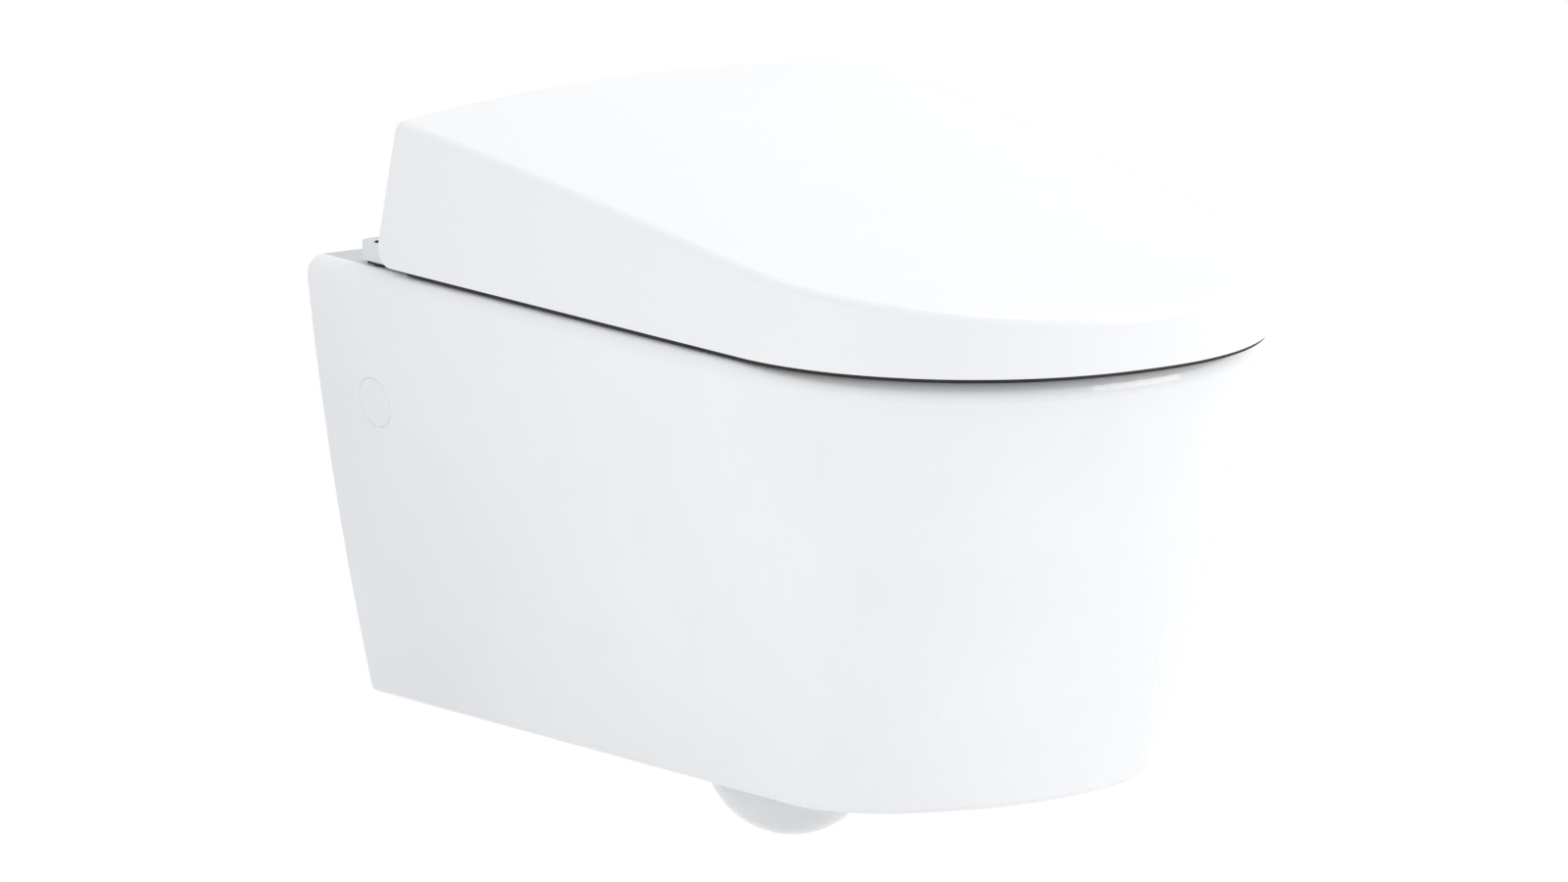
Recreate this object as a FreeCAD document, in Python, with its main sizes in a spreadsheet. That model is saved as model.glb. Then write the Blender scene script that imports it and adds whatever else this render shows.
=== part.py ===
import FreeCAD, Part
import math
import os
import re
import Sketcher

# Wall-hung shower toilet with a heated seat.
# X is the width, the front faces -Y, the wall is the plane y = 0, +Z is up.
# The origin lies midway between the two wall studs, on the wall. Millimetres and degrees.

Vector = FreeCAD.Vector
Rotation = FreeCAD.Rotation
doc = FreeCAD.newDocument("ShowerToilet")
sheet = doc.addObject("Spreadsheet::Sheet", "Sizes")

# The pan's outside, a D in plan at the rim and at the foot.
rim_level = 80
skirt_height = 265
pan_half = 187
pan_taper = 1.3
pan_length = 553
pan_corner = 176
pan_front = 270
foot_half = 138.5
foot_taper = 2.7
foot_length = 466
foot_corner = 70
foot_front = 188
side_bow = 0.41
front_bow = 0.48
rim_round = 11
foot_round = 6
pan_wall = 11
deck_thickness = 18
wall_trim = 2

# The bowl, the sump and the trap behind it.
mouth_half_width = 140
mouth_half_length = 166
mouth_centre = 347
mouth_round = 5
throat_half_width = 36
throat_half_length = 37
throat_centre = 268
throat_level = -175
throat_radius = 35
sump_radius = 41
sump_back = 228
sump_level = -193
trap_radius = 28
trap_bend = 75
trap_crest = 92
trap_start_drop = 6
outlet_level = -100
outlet_radius = 51
outlet_bore = 43
outlet_start = 4
outlet_length = 62
outlet_cone = 26

# The flush inlet and the wall fixing.
inlet_level = 35
inlet_bore = 27.5
inlet_depth = 62
duct_front = 214
duct_bore = 19
collar_bore = 22.5
collar_gap = 0.1
collar_length = 38
collar_lip = 2
stud_spacing = 180
stud_clearance_hole = 6.5
web_thickness = 14
web_foot = 46
sleeve_radius = 15
sleeve_length = 66
pan_boss_length = 42
sleeve_gap = 0.15
boss_wall = 8
side_screw_back = 53.5
side_screw_radius = 4
side_screw_length = 26
side_screw_gap = 0.1
side_boss_radius = 9
side_boss_reach = 27
side_screw_socket = 5.2
side_socket_radius = 2.4
cap_radius = 15
cap_gap = 0.2
cap_thickness = 8
cap_tilt = 9

# The lid: a shell that is open behind, with cheeks beside the housing.
lid_gap = 2.7
lid_half = 180
lid_taper = 1.5
lid_length = 565
lid_corner = 160
lid_front = 262
lid_back = 59
lid_rear_height = 87
lid_front_height = 33
lid_crown = 13
lid_crown_front = 1.5
lid_bow = 0.25
lid_dip = 0.30
lid_rear_slant = 18
lid_side_lean = 3.2
lid_front_flare = 16
lid_block = 115
lid_sky = 30
lid_heel = 12
lid_edge_round = 6
lid_wall = 3.5

# The hinge line, shared by the seat and the lid.
hinge_back = 83
hinge_level = 142
shaft_radius = 5
shaft_gap = 0.06
shaft_inner = 118
shaft_end_gap = 0.5
lid_boss_radius = 9
hinge_side_gap = 0.6
lid_pin_depth = 5
arm_inner = 160.4
arm_thickness = 7.8
arm_hub = 13
damper_radius = 11
damper_length = 46

# The seat ring.
seat_gap = 4.5
seat_lift = 3
seat_base_height = 4
seat_height = 20
seat_rear = 241
seat_hole_half = 104
seat_hole_reach = 120
seat_hole_centre = 381
seat_round = 7
seat_inner_round = 8
arm_root = 22
arm_toe = 8
arm_waist = 4
seat_rim = 7
seat_skin = 3.5
heater_thickness = 0.8
buffer_length = 26
buffer_width = 11
rear_buffer_side = 146
rear_buffer_back = 330
front_buffer_side = 92
front_buffer_back = 486
contact_gap = 0.2
lid_buffer_radius = 6
rear_peg_side = 148
rear_peg_back = 300
front_peg_side = 104
front_peg_back = 462

# The housing of the shower unit: a tray on the deck and a cover over it.
pad_height = 2
pad_radius = 8
pad_inset = 6
tray_half = 172
tray_step_half = 169
tray_back = 43
tray_step = 193
tray_front = 236
tray_floor = 3
tray_wall = 2.5
tray_height = 11.5
tray_round = 8
cover_half = 159
cover_back = 60
cover_wall = 2.5
cover_crown = 22
cover_rear_level = 165.5
cover_nose_level = 142.5
cover_nose_round = 12
cover_edge_round = 3.5
cover_gap = 0.4
deck_bolt_spacing = 155
deck_bolt_back = 108
deck_bolt_radius = 4
deck_hole_radius = 7
deck_bolt_tail = 16
deck_nut_height = 12
deck_nut_radius = 10.5
bolt_head_radius = 6.8
bolt_head_height = 4.8

# The spray arm and its nozzle, which slide forwards and down.
spray_slope = 35
spray_back = 240
spray_level = 66
spray_tip = 34
spray_radius = 9.5
spray_travel = 70
spray_overlap = 28
nozzle_radius = 6
nozzle_travel = 50
nozzle_overlap = 42
nozzle_cap = 3
jet_back = 5
jet_radius = 1.3
spray_shield = 3
slide_gap = 0.08
guide_half = 13
guide_length = 88
guide_start = 5
guide_leg = 16
guide_leg_half = 12
gate_gap = 4
gate_height = 14
gate_reach = 22

# Pieces inside the housing.
fan_radius = 30
fan_height = 24
fan_wall = 2
fan_hub = 7
fan_blades = 12
button_radius = 7
button_travel = 1.5
button_gap = 0.3
button_height = 9
button_back = 205
button_side = 88
button_spacing = 26
tank_half_length = 48
tank_side = 100
tank_width = 60
tank_back = 148
tank_height = 44
tank_round = 9
pump_radius = 15
pump_length = 48
pump_side = 26
pump_back = 204
board_length = 82
board_width = 56
board_side = 30
board_back = 70
board_lift = 9
board_thickness = 1.6
board_post = 4
board_margin = 2
valve_length = 36
valve_width = 36
valve_height = 32
valve_side = 30
valve_back = 66
inlet_side = 50
inlet_height = 105
inlet_thread_radius = 10.4
inlet_thread_end = 32
inlet_neck_radius = 9.4
inlet_flange_radius = 13
inlet_flange = 3.6
inlet_pipe_bore = 6
gland_side = 104
gland_radius = 8
gland_bore = 3.6
gland_length = 20
filter_length = 58
filter_width = 38
filter_height = 28
filter_side = 88
filter_back = 104
fan_side = 112
fan_back = 186
fan_pin_radius = 1.5
rotor_gap = 3
rotor_skin = 1.2
blade_ring = 17.4
blade_length = 9
rotor_height = 14.4
fan_eye_radius = 15
bracket_length = 26
bracket_half_width = 9
bracket_inset = 8
sensor_length = 30
sensor_height = 10
sensor_side = 60
sensor_level = 112
lamp_length = 24
lamp_height = 6
lamp_side = 56
lamp_level = 100
fitting_gap = 0.15

# Every size above is a cell of the sheet, with its name as the cell's alias.
names = [name for name, value in globals().items() if name[0] != "_" and isinstance(value, (int, float))]
for row, name in enumerate(names, 1):
    sheet.set("A%d" % row, name)
    sheet.set("B%d" % row, str(globals()[name]))
    sheet.setAlias("B%d" % row, name)
doc.recompute()


def formula(text):
    """Turns alias words in a formula into references to the sheet."""
    return re.sub(r"[a-z_]+\b(?!\()", lambda word: ("Sizes." if word[0] in names else "") + word[0], text)


def value(text):
    """What a formula comes to now."""
    return float(sheet.evalExpression(formula(text).replace("Sizes.", "")))


def bind(thing, formulas):
    """Ties properties of a thing to formulas of the sheet."""
    for path, text in formulas.items():
        thing.setExpression(path, formula(text))
    return thing


def box(name, low, high):
    """A box between two corners, each of three formulas."""
    thing = doc.addObject("Part::Box", name)
    for axis, side, start, end in zip("xyz", ("Length", "Width", "Height"), low, high):
        bind(thing, {"Placement.Base." + axis: start, side: "(%s) - (%s)" % (end, start)})
    return thing


TURNS = {"x": (Vector(0, 1, 0), 90), "y": (Vector(1, 0, 0), -90), "z": (Vector(0, 0, 1), 0)}


def rod(name, axis, start, radius, length, end_radius=None):
    """A cylinder, or a cone where an end radius is given, from its start along +X, +Y or +Z."""
    thing = doc.addObject("Part::Cone" if end_radius else "Part::Cylinder", name)
    thing.Placement.Rotation = Rotation(*TURNS[axis])
    bind(thing, {"Placement.Base.x": start[0], "Placement.Base.y": start[1], "Placement.Base.z": start[2]})
    bind(thing, {"Height": length, "Radius1" if end_radius else "Radius": radius})
    if end_radius:
        bind(thing, {"Radius2": end_radius})
    return thing


def ball(name, centre, radius):
    """A sphere about a centre of three formulas."""
    thing = doc.addObject("Part::Sphere", name)
    bind(thing, {"Placement.Base." + axis: text for axis, text in zip("xyz", centre)})
    return bind(thing, {"Radius": radius})


def fuse(name, *shapes):
    thing = doc.addObject("Part::MultiFuse", name)
    thing.Shapes = list(shapes)
    thing.Refine = True
    return thing


def cut(name, base, *tools):
    thing = doc.addObject("Part::Cut", name)
    thing.Base = base
    thing.Tool = tools[0] if len(tools) == 1 else fuse(name + "_tools", *tools)
    thing.Refine = True
    return thing


def common(name, first, second):
    thing = doc.addObject("Part::Common", name)
    thing.Base = first
    thing.Tool = second
    thing.Refine = True
    return thing


def group(name, *members):
    """Several separate solids that are one node."""
    thing = doc.addObject("Part::Compound", name)
    thing.Links = list(members)
    return thing


def mirrored(thing):
    """The same piece on the other side of the middle plane."""
    twin = doc.addObject("Part::Mirroring", thing.Name + "_mirrored")
    twin.Source = thing
    twin.Normal = (1, 0, 0)
    return twin


def pair(name, thing):
    return group(name, thing, mirrored(thing))


def rounded(name, base, radius, wanted):
    """Rounds the edges of a base that the test wanted picks."""
    doc.recompute()
    amount = value(radius)
    thing = doc.addObject("Part::Fillet", name)
    thing.Base = base
    thing.Edges = [(i + 1, amount, amount) for i, edge in enumerate(base.Shape.Edges) if wanted(edge)]
    return thing


def near(first, second):
    return abs(first - second) < 0.01


def outline(name, level, half, taper, length, corner, front):
    """A D in plan: a line on the wall, two sides that draw in, two corner arcs and a front arc."""
    sketch = doc.addObject("Sketcher::SketchObject", name)
    half_now, taper_now, length_now, corner_now, front_now = [
        value(text) for text in (half, taper, length, corner, front)]
    angle = math.radians(taper_now)
    front_centre = Vector(0, front_now - length_now, 0)
    forwards = Vector(-math.sin(angle), -math.cos(angle), 0)
    inwards = Vector(-math.cos(angle), math.sin(angle), 0)
    start = Vector(half_now, 0, 0) + inwards * corner_now
    offset = start - front_centre
    reach = offset.dot(forwards)
    root = reach * reach - offset.dot(offset) + (front_now - corner_now) ** 2
    corner_centre = start + forwards * (math.sqrt(root) - reach)
    side_end = corner_centre - inwards * corner_now
    spoke = (corner_centre - front_centre).normalize()
    front_end = front_centre + spoke * front_now
    middle = corner_centre + (spoke - inwards).normalize() * corner_now

    def left(point):
        return Vector(-point.x, point.y, 0)

    sketch.addGeometry([
        Part.LineSegment(Vector(-half_now, 0, 0), Vector(half_now, 0, 0)),
        Part.LineSegment(Vector(half_now, 0, 0), side_end),
        Part.Arc(side_end, middle, front_end),
        Part.Arc(front_end, Vector(0, -length_now, 0), left(front_end)),
        Part.Arc(left(front_end), left(middle), left(side_end)),
        Part.LineSegment(left(side_end), Vector(-half_now, 0, 0))], False)

    def end(edge, point):
        return 1 if sketch.getPoint(edge, 1).distanceToPoint(point) < 0.001 else 2

    rule = Sketcher.Constraint
    sketch.addConstraint([
        rule("Symmetric", 0, 1, 0, 2, -2), rule("PointOnObject", 0, 1, -1),
        rule("Coincident", 0, 2, 1, 1), rule("Coincident", 5, 2, 0, 1),
        rule("Tangent", 1, 2, 2, end(2, side_end)),
        rule("Tangent", 2, end(2, front_end), 3, end(3, front_end)),
        rule("Tangent", 3, end(3, left(front_end)), 4, end(4, left(front_end))),
        rule("Tangent", 4, end(4, left(side_end)), 5, 1),
        rule("Symmetric", 1, 2, 5, 1, -2), rule("PointOnObject", 3, 3, -2)])
    for kind, places, text in (
            ("DistanceX", (0, 1, 0, 2), "2 * (%s)" % half), ("Radius", (2,), corner),
            ("Radius", (3,), front), ("DistanceY", (3, 3, -1, 1), "(%s) - (%s)" % (length, front)),
            ("Angle", (1,), "-90 - (%s)" % taper)):
        start_value = value(text)
        if kind == "Angle":
            start_value = math.radians(start_value)
        number = sketch.addConstraint(rule(kind, *places, start_value))
        bind(sketch, {"Constraints[%d]" % number: text})
    bind(sketch, {"Placement.Base.z": level})
    return sketch


def polygon(name, plane, corners):
    """A closed outline of straight sides in the side plane (y, z) or the plan (x, y)."""
    sketch = doc.addObject("Sketcher::SketchObject", name)
    if plane == "side":
        sketch.Placement.Rotation = Rotation(Vector(1, 1, 1), 120)
    points = [Vector(value(first), value(second), 0) for first, second in corners]
    count = len(points)
    sketch.addGeometry([Part.LineSegment(points[i], points[(i + 1) % count]) for i in range(count)], False)
    rule = Sketcher.Constraint
    for i in range(count):
        sketch.addConstraint(rule("Coincident", i, 2, (i + 1) % count, 1))
    for i, (first, second) in enumerate(corners):
        for kind, text in (("DistanceX", first), ("DistanceY", second)):
            number = sketch.addConstraint(rule(kind, -1, 1, i, 1, value(text)))
            bind(sketch, {"Constraints[%d]" % number: text})
    return sketch


def extruded(name, sketch, length):
    """A sketch pushed along its own normal."""
    thing = doc.addObject("Part::Extrusion", name)
    thing.Base = sketch
    thing.DirMode = "Normal"
    thing.Solid = True
    return bind(thing, {"LengthFwd": length})


def side_prism(name, corners, start, end):
    """A prism across the width, from a side outline."""
    sketch = polygon(name + "_outline", "side", corners)
    bind(sketch, {"Placement.Base.x": start})
    return extruded(name, sketch, "(%s) - (%s)" % (end, start))


def plan_prism(name, corners, start, end):
    """An upright prism, from an outline in plan."""
    sketch = polygon(name + "_outline", "plan", corners)
    bind(sketch, {"Placement.Base.z": start})
    return extruded(name, sketch, "(%s) - (%s)" % (end, start))


def oval(name, level, back, half_width, half_length):
    """An ellipse in plan, longer from front to back."""
    thing = doc.addObject("Part::Ellipse", name)
    thing.Placement.Rotation = Rotation(Vector(0, 0, 1), 90)
    bind(thing, {"MajorRadius": half_length, "MinorRadius": half_width})
    return bind(thing, {"Placement.Base.y": "-(%s)" % back, "Placement.Base.z": level})


def loft(name, sections):
    thing = doc.addObject("Part::Loft", name)
    thing.Sections = sections
    thing.Solid = True
    return thing


nodes = []


def node(thing, label):
    """Names a finished sub-part; the label is also its file's name."""
    thing.Label = label
    nodes.append(thing)
    return thing


# Ceramic pan: a glazed skirt, hollow and open below, round the bowl and its trap.
def skirt_sections(name, inset):
    """The pan's outline at the rim, half way down and at the foot, drawn in by an inset.

    It starts a little behind the wall, where it is trimmed flat."""
    def between(top, low, share):
        return "%s + (%s - %s) * %s" % (top, low, top, share)

    shapes = (("half", "side_bow"), ("taper", "front_bow"), ("length", "front_bow"),
              ("corner", "front_bow"), ("front", "front_bow"))
    sections = []
    for level, mix in (("rim_level", lambda part, bow: "pan_" + part),
                       ("rim_level - skirt_height / 2",
                        lambda part, bow: between("pan_" + part, "foot_" + part, bow)),
                       ("rim_level - skirt_height", lambda part, bow: "foot_" + part)):
        sizes = [mix(part, bow) + ("" if part == "taper" else " - (%s)" % inset) for part, bow in shapes]
        sizes[2] += " + wall_trim"
        section = outline("%s_outline_%d" % (name, len(sections)), level, *sizes)
        sections.append(bind(section, {"Placement.Base.y": "wall_trim"}))
    return loft(name, sections)


skirt_block = skirt_sections("skirt_block", "0")
rim_edge = rounded("rim_edge", skirt_block, "rim_round",
                   lambda edge: near(edge.BoundBox.ZMin, value("rim_level")) and edge.BoundBox.YMin < -1)
foot_edge = rounded("foot_edge", rim_edge, "foot_round",
                    lambda edge: near(edge.BoundBox.ZMax, value("rim_level - skirt_height"))
                    and edge.BoundBox.YMin < -1)
behind_wall = box("behind_wall", ("-pan_half - 1", "0", "rim_level - skirt_height - 1"),
                  ("pan_half + 1", "wall_trim + 1", "rim_level + 1"))
skirt = cut("skirt", foot_edge, behind_wall)
under_block = skirt_sections("under_block", "pan_wall")
deck = box("deck", ("-pan_half", "-pan_length", "rim_level - deck_thickness"),
           ("pan_half", "wall_trim + 1", "rim_level + 1"))
web = box("web", ("-pan_half", "-web_thickness", "-web_foot"), ("pan_half", "wall_trim + 1", "rim_level"))
under_space = cut("under_space", under_block, deck, web)
shell = cut("shell", skirt, under_space)

# How deep each section of the bowl lies, and how far it has closed in on the throat, as shares.
BOWL_CURVE = [(0, 0), (0.14, 0.02), (0.35, 0.17), (0.6, 0.49), (0.81, 0.81), (1, 1)]


def bowl(name, wall, floor):
    """The bowl's surface as a solid, grown by a wall."""
    sections = []
    for depth, closing in BOWL_CURVE:
        def narrowed(mouth, throat):
            return "%s + (%s - %s) * %s + (%s)" % (mouth, throat, mouth, closing, wall)

        sections.append(oval(
            "%s_oval_%d" % (name, len(sections)),
            "rim_level + (throat_level - rim_level) * %s - (%s) * %s" % (depth, floor, depth),
            "mouth_centre + (throat_centre - mouth_centre) * %s" % closing,
            narrowed("mouth_half_width", "throat_half_width"),
            narrowed("mouth_half_length", "throat_half_length")))
    return loft(name, sections)


def trapway(name, wall):
    """The rising tube behind the sump, which bends over the weir towards the wall."""
    path = doc.addObject("Sketcher::SketchObject", name + "_path")
    path.Placement.Rotation = Rotation(Vector(1, 1, 1), 120)
    bend = value("trap_bend")
    level = value("outlet_level")
    crest = Vector(-value("trap_crest"), level, 0)
    centre = crest - Vector(0, bend, 0)
    foot = Vector(-value("sump_back"), value("sump_level - trap_start_drop"), 0)
    span = foot - centre
    turn = math.atan2(span.y, span.x) - math.acos(bend / span.Length)
    touch = centre + Vector(math.cos(turn), math.sin(turn), 0) * bend
    half_turn = (turn % (2 * math.pi) + math.pi / 2) / 2
    middle = centre + Vector(math.cos(half_turn), math.sin(half_turn), 0) * bend
    outlet = Vector(-value("outlet_start + outlet_length"), level, 0)
    path.addGeometry([Part.LineSegment(outlet, crest), Part.Arc(crest, middle, touch),
                      Part.LineSegment(touch, foot)], False)
    rule = Sketcher.Constraint
    arc_end = 1 if path.getPoint(1, 1).distanceToPoint(crest) < 0.001 else 2
    path.addConstraint([rule("Horizontal", 0), rule("Tangent", 0, 2, 1, arc_end),
                        rule("Tangent", 1, 3 - arc_end, 2, 1)])
    for kind, places, text in (
            ("Radius", (1,), "trap_bend"),
            ("DistanceX", (-1, 1, 0, 1), "-outlet_start - outlet_length"),
            ("DistanceY", (-1, 1, 0, 1), "outlet_level"), ("DistanceX", (-1, 1, 0, 2), "-trap_crest"),
            ("DistanceX", (-1, 1, 2, 2), "-sump_back"),
            ("DistanceY", (-1, 1, 2, 2), "sump_level - trap_start_drop")):
        number = path.addConstraint(rule(kind, *places, value(text)))
        bind(path, {"Constraints[%d]" % number: text})
    ring = doc.addObject("Part::Circle", name + "_ring")
    ring.Placement.Rotation = Rotation(*TURNS["y"])
    bind(ring, {"Radius": "trap_radius + (%s)" % wall, "Placement.Base.y": "-outlet_start - outlet_length",
                "Placement.Base.z": "outlet_level"})
    tube = doc.addObject("Part::Sweep", name)
    tube.Sections = [ring]
    tube.Spine = (path, ["Edge1", "Edge2", "Edge3"])
    tube.Solid = True
    return tube


def waterway(name, wall):
    """Bowl, throat, sump, trapway and outlet, grown by a wall: once for the clay, once for the water."""
    back = "-outlet_start - outlet_length"
    return [
        bowl(name + "_bowl", wall, wall),
        ball(name + "_throat", ("0", "-throat_centre", "throat_level"), "throat_radius + (%s)" % wall),
        ball(name + "_sump", ("0", "-sump_back", "sump_level"), "sump_radius + (%s)" % wall),
        trapway(name + "_trapway", wall),
        rod(name + "_cone", "y", ("0", back + " - outlet_cone", "outlet_level"), "trap_radius + (%s)" % wall,
            "outlet_cone", "outlet_radius" if wall != "0" else "outlet_bore"),
        rod(name + "_spigot", "y", ("0", back, "outlet_level"),
            "outlet_radius" if wall != "0" else "outlet_bore",
            "outlet_length" if wall != "0" else "outlet_length + 1")]


STUD = "stud_spacing / 2"
BOLT = ("deck_bolt_spacing / 2", "-deck_bolt_back")
DROP_SHARE = "rim_level / skirt_height"
SIDE_REACH = ("(pan_half + (foot_half - pan_half) * ({0} * (4 * side_bow - 1)"
              " + {0} * {0} * (2 - 4 * side_bow)))").format(DROP_SHARE)


def cap_rod(name, radius, depth, length):
    """A rod square to the pan's side, where the side screw is reached."""
    thing = rod(name, "x", ("%s - (%s) * cos(cap_tilt)" % (SIDE_REACH, depth), "-side_screw_back",
                            "(%s) * sin(cap_tilt)" % depth), radius, length)
    thing.Placement.Rotation = Rotation(Vector(0, 1, 0), 99)
    return bind(thing, {"Placement.Rotation.Angle": "90 + cap_tilt"})


clay = waterway("clay", "pan_wall")
flush_duct = rod("flush_duct", "y", ("0", "-duct_front", "inlet_level"), "inlet_bore + boss_wall", "duct_front")
stud_boss = rod("stud_boss", "y", (STUD, "-pan_boss_length", "0"),
                "sleeve_radius + sleeve_gap + boss_wall", "pan_boss_length")
body = fuse("body", shell, *clay, flush_duct, stud_boss, mirrored(stud_boss))
water = waterway("water", "0")
inlet = rod("inlet", "y", ("0", "-inlet_depth", "inlet_level"), "inlet_bore", "inlet_depth + 1")
duct = rod("duct", "y", ("0", "-mouth_centre", "inlet_level"), "duct_bore", "mouth_centre")
stud_hole = rod("stud_hole", "y", (STUD, "-pan_boss_length - 1", "0"), "sleeve_radius + sleeve_gap",
                "pan_boss_length + 2")
cap_hole = cap_rod("cap_hole", "cap_radius", "cap_thickness + pan_wall", "cap_thickness + 2 * pan_wall")
deck_hole = rod("deck_hole", "z", (*BOLT, "rim_level - deck_thickness - 1"), "deck_hole_radius",
                "deck_thickness + 2")
holes = [stud_hole, cap_hole, deck_hole]
mouth = cut("mouth", body, water[0])
mouth_edge = rounded("mouth_edge", mouth, "mouth_round",
                     lambda edge: near(edge.BoundBox.ZMin, value("rim_level"))
                     and near(edge.BoundBox.ZMax, value("rim_level"))
                     and edge.BoundBox.YMax < value("mouth_half_length - mouth_centre") + 1
                     and edge.BoundBox.XLength > value("mouth_half_width"))
drilled = cut("drilled", mouth_edge, *water[1:], inlet, duct, *holes, *[mirrored(hole) for hole in holes])
node(drilled, "ceramic_pan")

# Side caps: plastic plugs that follow the glaze and hide the side screws.
for hand, label in ((-1, "side_cap_left"), (1, "side_cap_right")):
    plug = cap_rod("plug_" + label, "cap_radius - cap_gap", "cap_thickness", "cap_thickness + pan_wall")
    cap = common("cap_" + label, skirt, plug)
    node(cap if hand > 0 else mirrored(cap), label)

# Wall fixing: plastic sleeves that take the wall's studs, each clamped by a side screw.
sleeve_body = rod("sleeve_body", "y", (STUD, "-sleeve_length", "0"), "sleeve_radius", "sleeve_length")
sleeve_arm = rod("sleeve_arm", "x", (STUD, "-side_screw_back", "0"), "side_boss_radius", "side_boss_reach")
sleeve_bore = rod("sleeve_bore", "y", (STUD, "-sleeve_length - 1", "0"), "stud_clearance_hole",
                  "sleeve_length + 2")
screw_bore = rod("screw_bore", "x", (STUD, "-side_screw_back", "0"), "side_screw_radius + side_screw_gap",
                 "side_boss_reach + 1")
sleeve = cut("sleeve", fuse("sleeve_solid", sleeve_body, sleeve_arm), sleeve_bore, screw_bore)
node(pair("sleeves", sleeve), "fixing_sleeves")
SCREW_START = STUD + " + stud_clearance_hole + 1"
screw_body = rod("screw_body", "x", (SCREW_START, "-side_screw_back", "0"), "side_screw_radius",
                 "side_screw_length")
screw_socket = rod("screw_socket", "x", (SCREW_START + " + side_screw_length - side_screw_socket",
                                         "-side_screw_back", "0"), "side_socket_radius", "side_screw_length")
node(pair("side_screws", cut("side_screw", screw_body, screw_socket)), "side_screws")

# Flush collar: a rubber sleeve in the inlet that seals on the flush pipe.
collar_body = rod("collar_body", "y", ("0", "-collar_lip - collar_length", "inlet_level"),
                  "inlet_bore - collar_gap", "collar_length")
collar_hole = rod("collar_hole", "y", ("0", "-inlet_depth", "inlet_level"), "collar_bore", "inlet_depth + 1")
node(cut("collar", collar_body, collar_hole), "flush_collar")

# Tray of the shower unit: it is bolted to the deck and its rear corners show behind the lid.
TRAY = "(rim_level + pad_height)"
FLOOR = "(rim_level + pad_height + tray_floor)"


def tee(inset):
    """The tray's outline: wide behind, narrow between the seat's arms."""
    right = [("tray_half - (%s)" % inset, "-tray_back - (%s)" % inset),
             ("tray_step_half - (%s)" % inset, "-tray_step + (%s)" % inset),
             ("cover_half - (%s)" % inset, "-tray_step + (%s)" % inset),
             ("cover_half - (%s)" % inset, "-tray_front + (%s)" % inset)]
    return right + [("-(%s)" % x, y) for x, y in reversed(right)]


def upright(edge):
    return edge.BoundBox.ZLength > 1 and edge.BoundBox.XLength + edge.BoundBox.YLength < 0.01


floor_plate = rounded("floor_plate", plan_prism("floor_prism", tee("0"), TRAY, FLOOR), "tray_round",
                      lambda edge: upright(edge) and (near(edge.BoundBox.YMin, value("-tray_back"))
                                                      or near(edge.BoundBox.YMin, value("-tray_front"))))
wall_outer = plan_prism("wall_outer", [
    ("tray_half", "-tray_back"), ("tray_step_half", "-tray_step"), ("-tray_step_half", "-tray_step"),
    ("-tray_half", "-tray_back")], TRAY, TRAY + " + tray_height")
wall_round = rounded("wall_round", wall_outer, "tray_round",
                     lambda edge: upright(edge) and near(edge.BoundBox.YMin, value("-tray_back")))
wall_inner = plan_prism("wall_inner", [
    ("tray_half - tray_wall", "-tray_back - tray_wall"), ("tray_step_half - tray_wall", "-tray_step - 1"),
    ("-tray_step_half + tray_wall", "-tray_step - 1"), ("-tray_half + tray_wall", "-tray_back - tray_wall")],
    TRAY + " - 1", TRAY + " + tray_height + 1")
wall_hollow = rounded("wall_hollow", wall_inner, "tray_round - tray_wall",
                      lambda edge: upright(edge) and near(edge.BoundBox.YMin, value("-tray_back - tray_wall")))
spray_mouth = box("spray_mouth", ("-guide_half - gate_gap", "-tray_front - 1", TRAY + " - 1"),
                  ("guide_half + gate_gap", "-tray_step + gate_reach", FLOOR + " + 1"))
bolt_way = rod("bolt_way", "z", (*BOLT, TRAY + " - 1"), "deck_bolt_radius + 2 * fitting_gap", "tray_floor + 2")
tray_solid = fuse("tray_solid", floor_plate, cut("tray_rim", wall_round, wall_hollow))
tray = cut("tray", tray_solid, spray_mouth, bolt_way, mirrored(bolt_way))
node(tray, "unit_tray")
pads = []
for side, back in (("tray_half - pad_radius", "tray_back + pad_radius"),
                   ("cover_half - pad_radius - pad_inset", "tray_step - pad_radius")):
    pad = rod("pad", "z", (side, "-(%s)" % back, "rim_level"), "pad_radius", "pad_height")
    pads += [pad, mirrored(pad)]
node(group("pads", *pads), "deck_pads")
bolt_shank = rod("bolt_shank", "z", (*BOLT, "rim_level - deck_thickness - deck_bolt_tail"), "deck_bolt_radius",
                 "deck_bolt_tail + deck_thickness + pad_height + tray_floor + 1")
bolt_head = rod("bolt_head", "z", (*BOLT, FLOOR + " + fitting_gap"), "bolt_head_radius", "bolt_head_height")
node(pair("bolts", fuse("deck_bolt", bolt_shank, bolt_head)), "deck_bolts")
nut_body = rod("nut_body", "z", (*BOLT, "rim_level - deck_thickness - fitting_gap - deck_nut_height"),
               "deck_nut_radius", "deck_nut_height")
nut_bore = rod("nut_bore", "z", (*BOLT, "rim_level - deck_thickness - 2 * deck_nut_height"),
               "deck_bolt_radius + fitting_gap / 2", "2 * deck_nut_height + 1")
node(pair("nuts", cut("deck_nut", nut_body, nut_bore)), "deck_nuts")

# Hinge line, shared by the seat and the lid.
PIVOT = ("-hinge_back", "hinge_level")
ARM_OUTER = "arm_inner + arm_thickness"
LID_FACE = "arm_inner + arm_thickness + hinge_side_gap"

# Housing cover: a moulded shell on the tray, with a rounded crown round the hinge line.
cover_corners = [("-cover_back", FLOOR + " + fitting_gap"), ("-cover_back", "cover_rear_level"),
                 ("-tray_front", "cover_nose_level"), ("-tray_front", FLOOR + " + fitting_gap")]
cover_block = side_prism("cover_block", cover_corners, "-cover_half", "cover_half")


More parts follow.
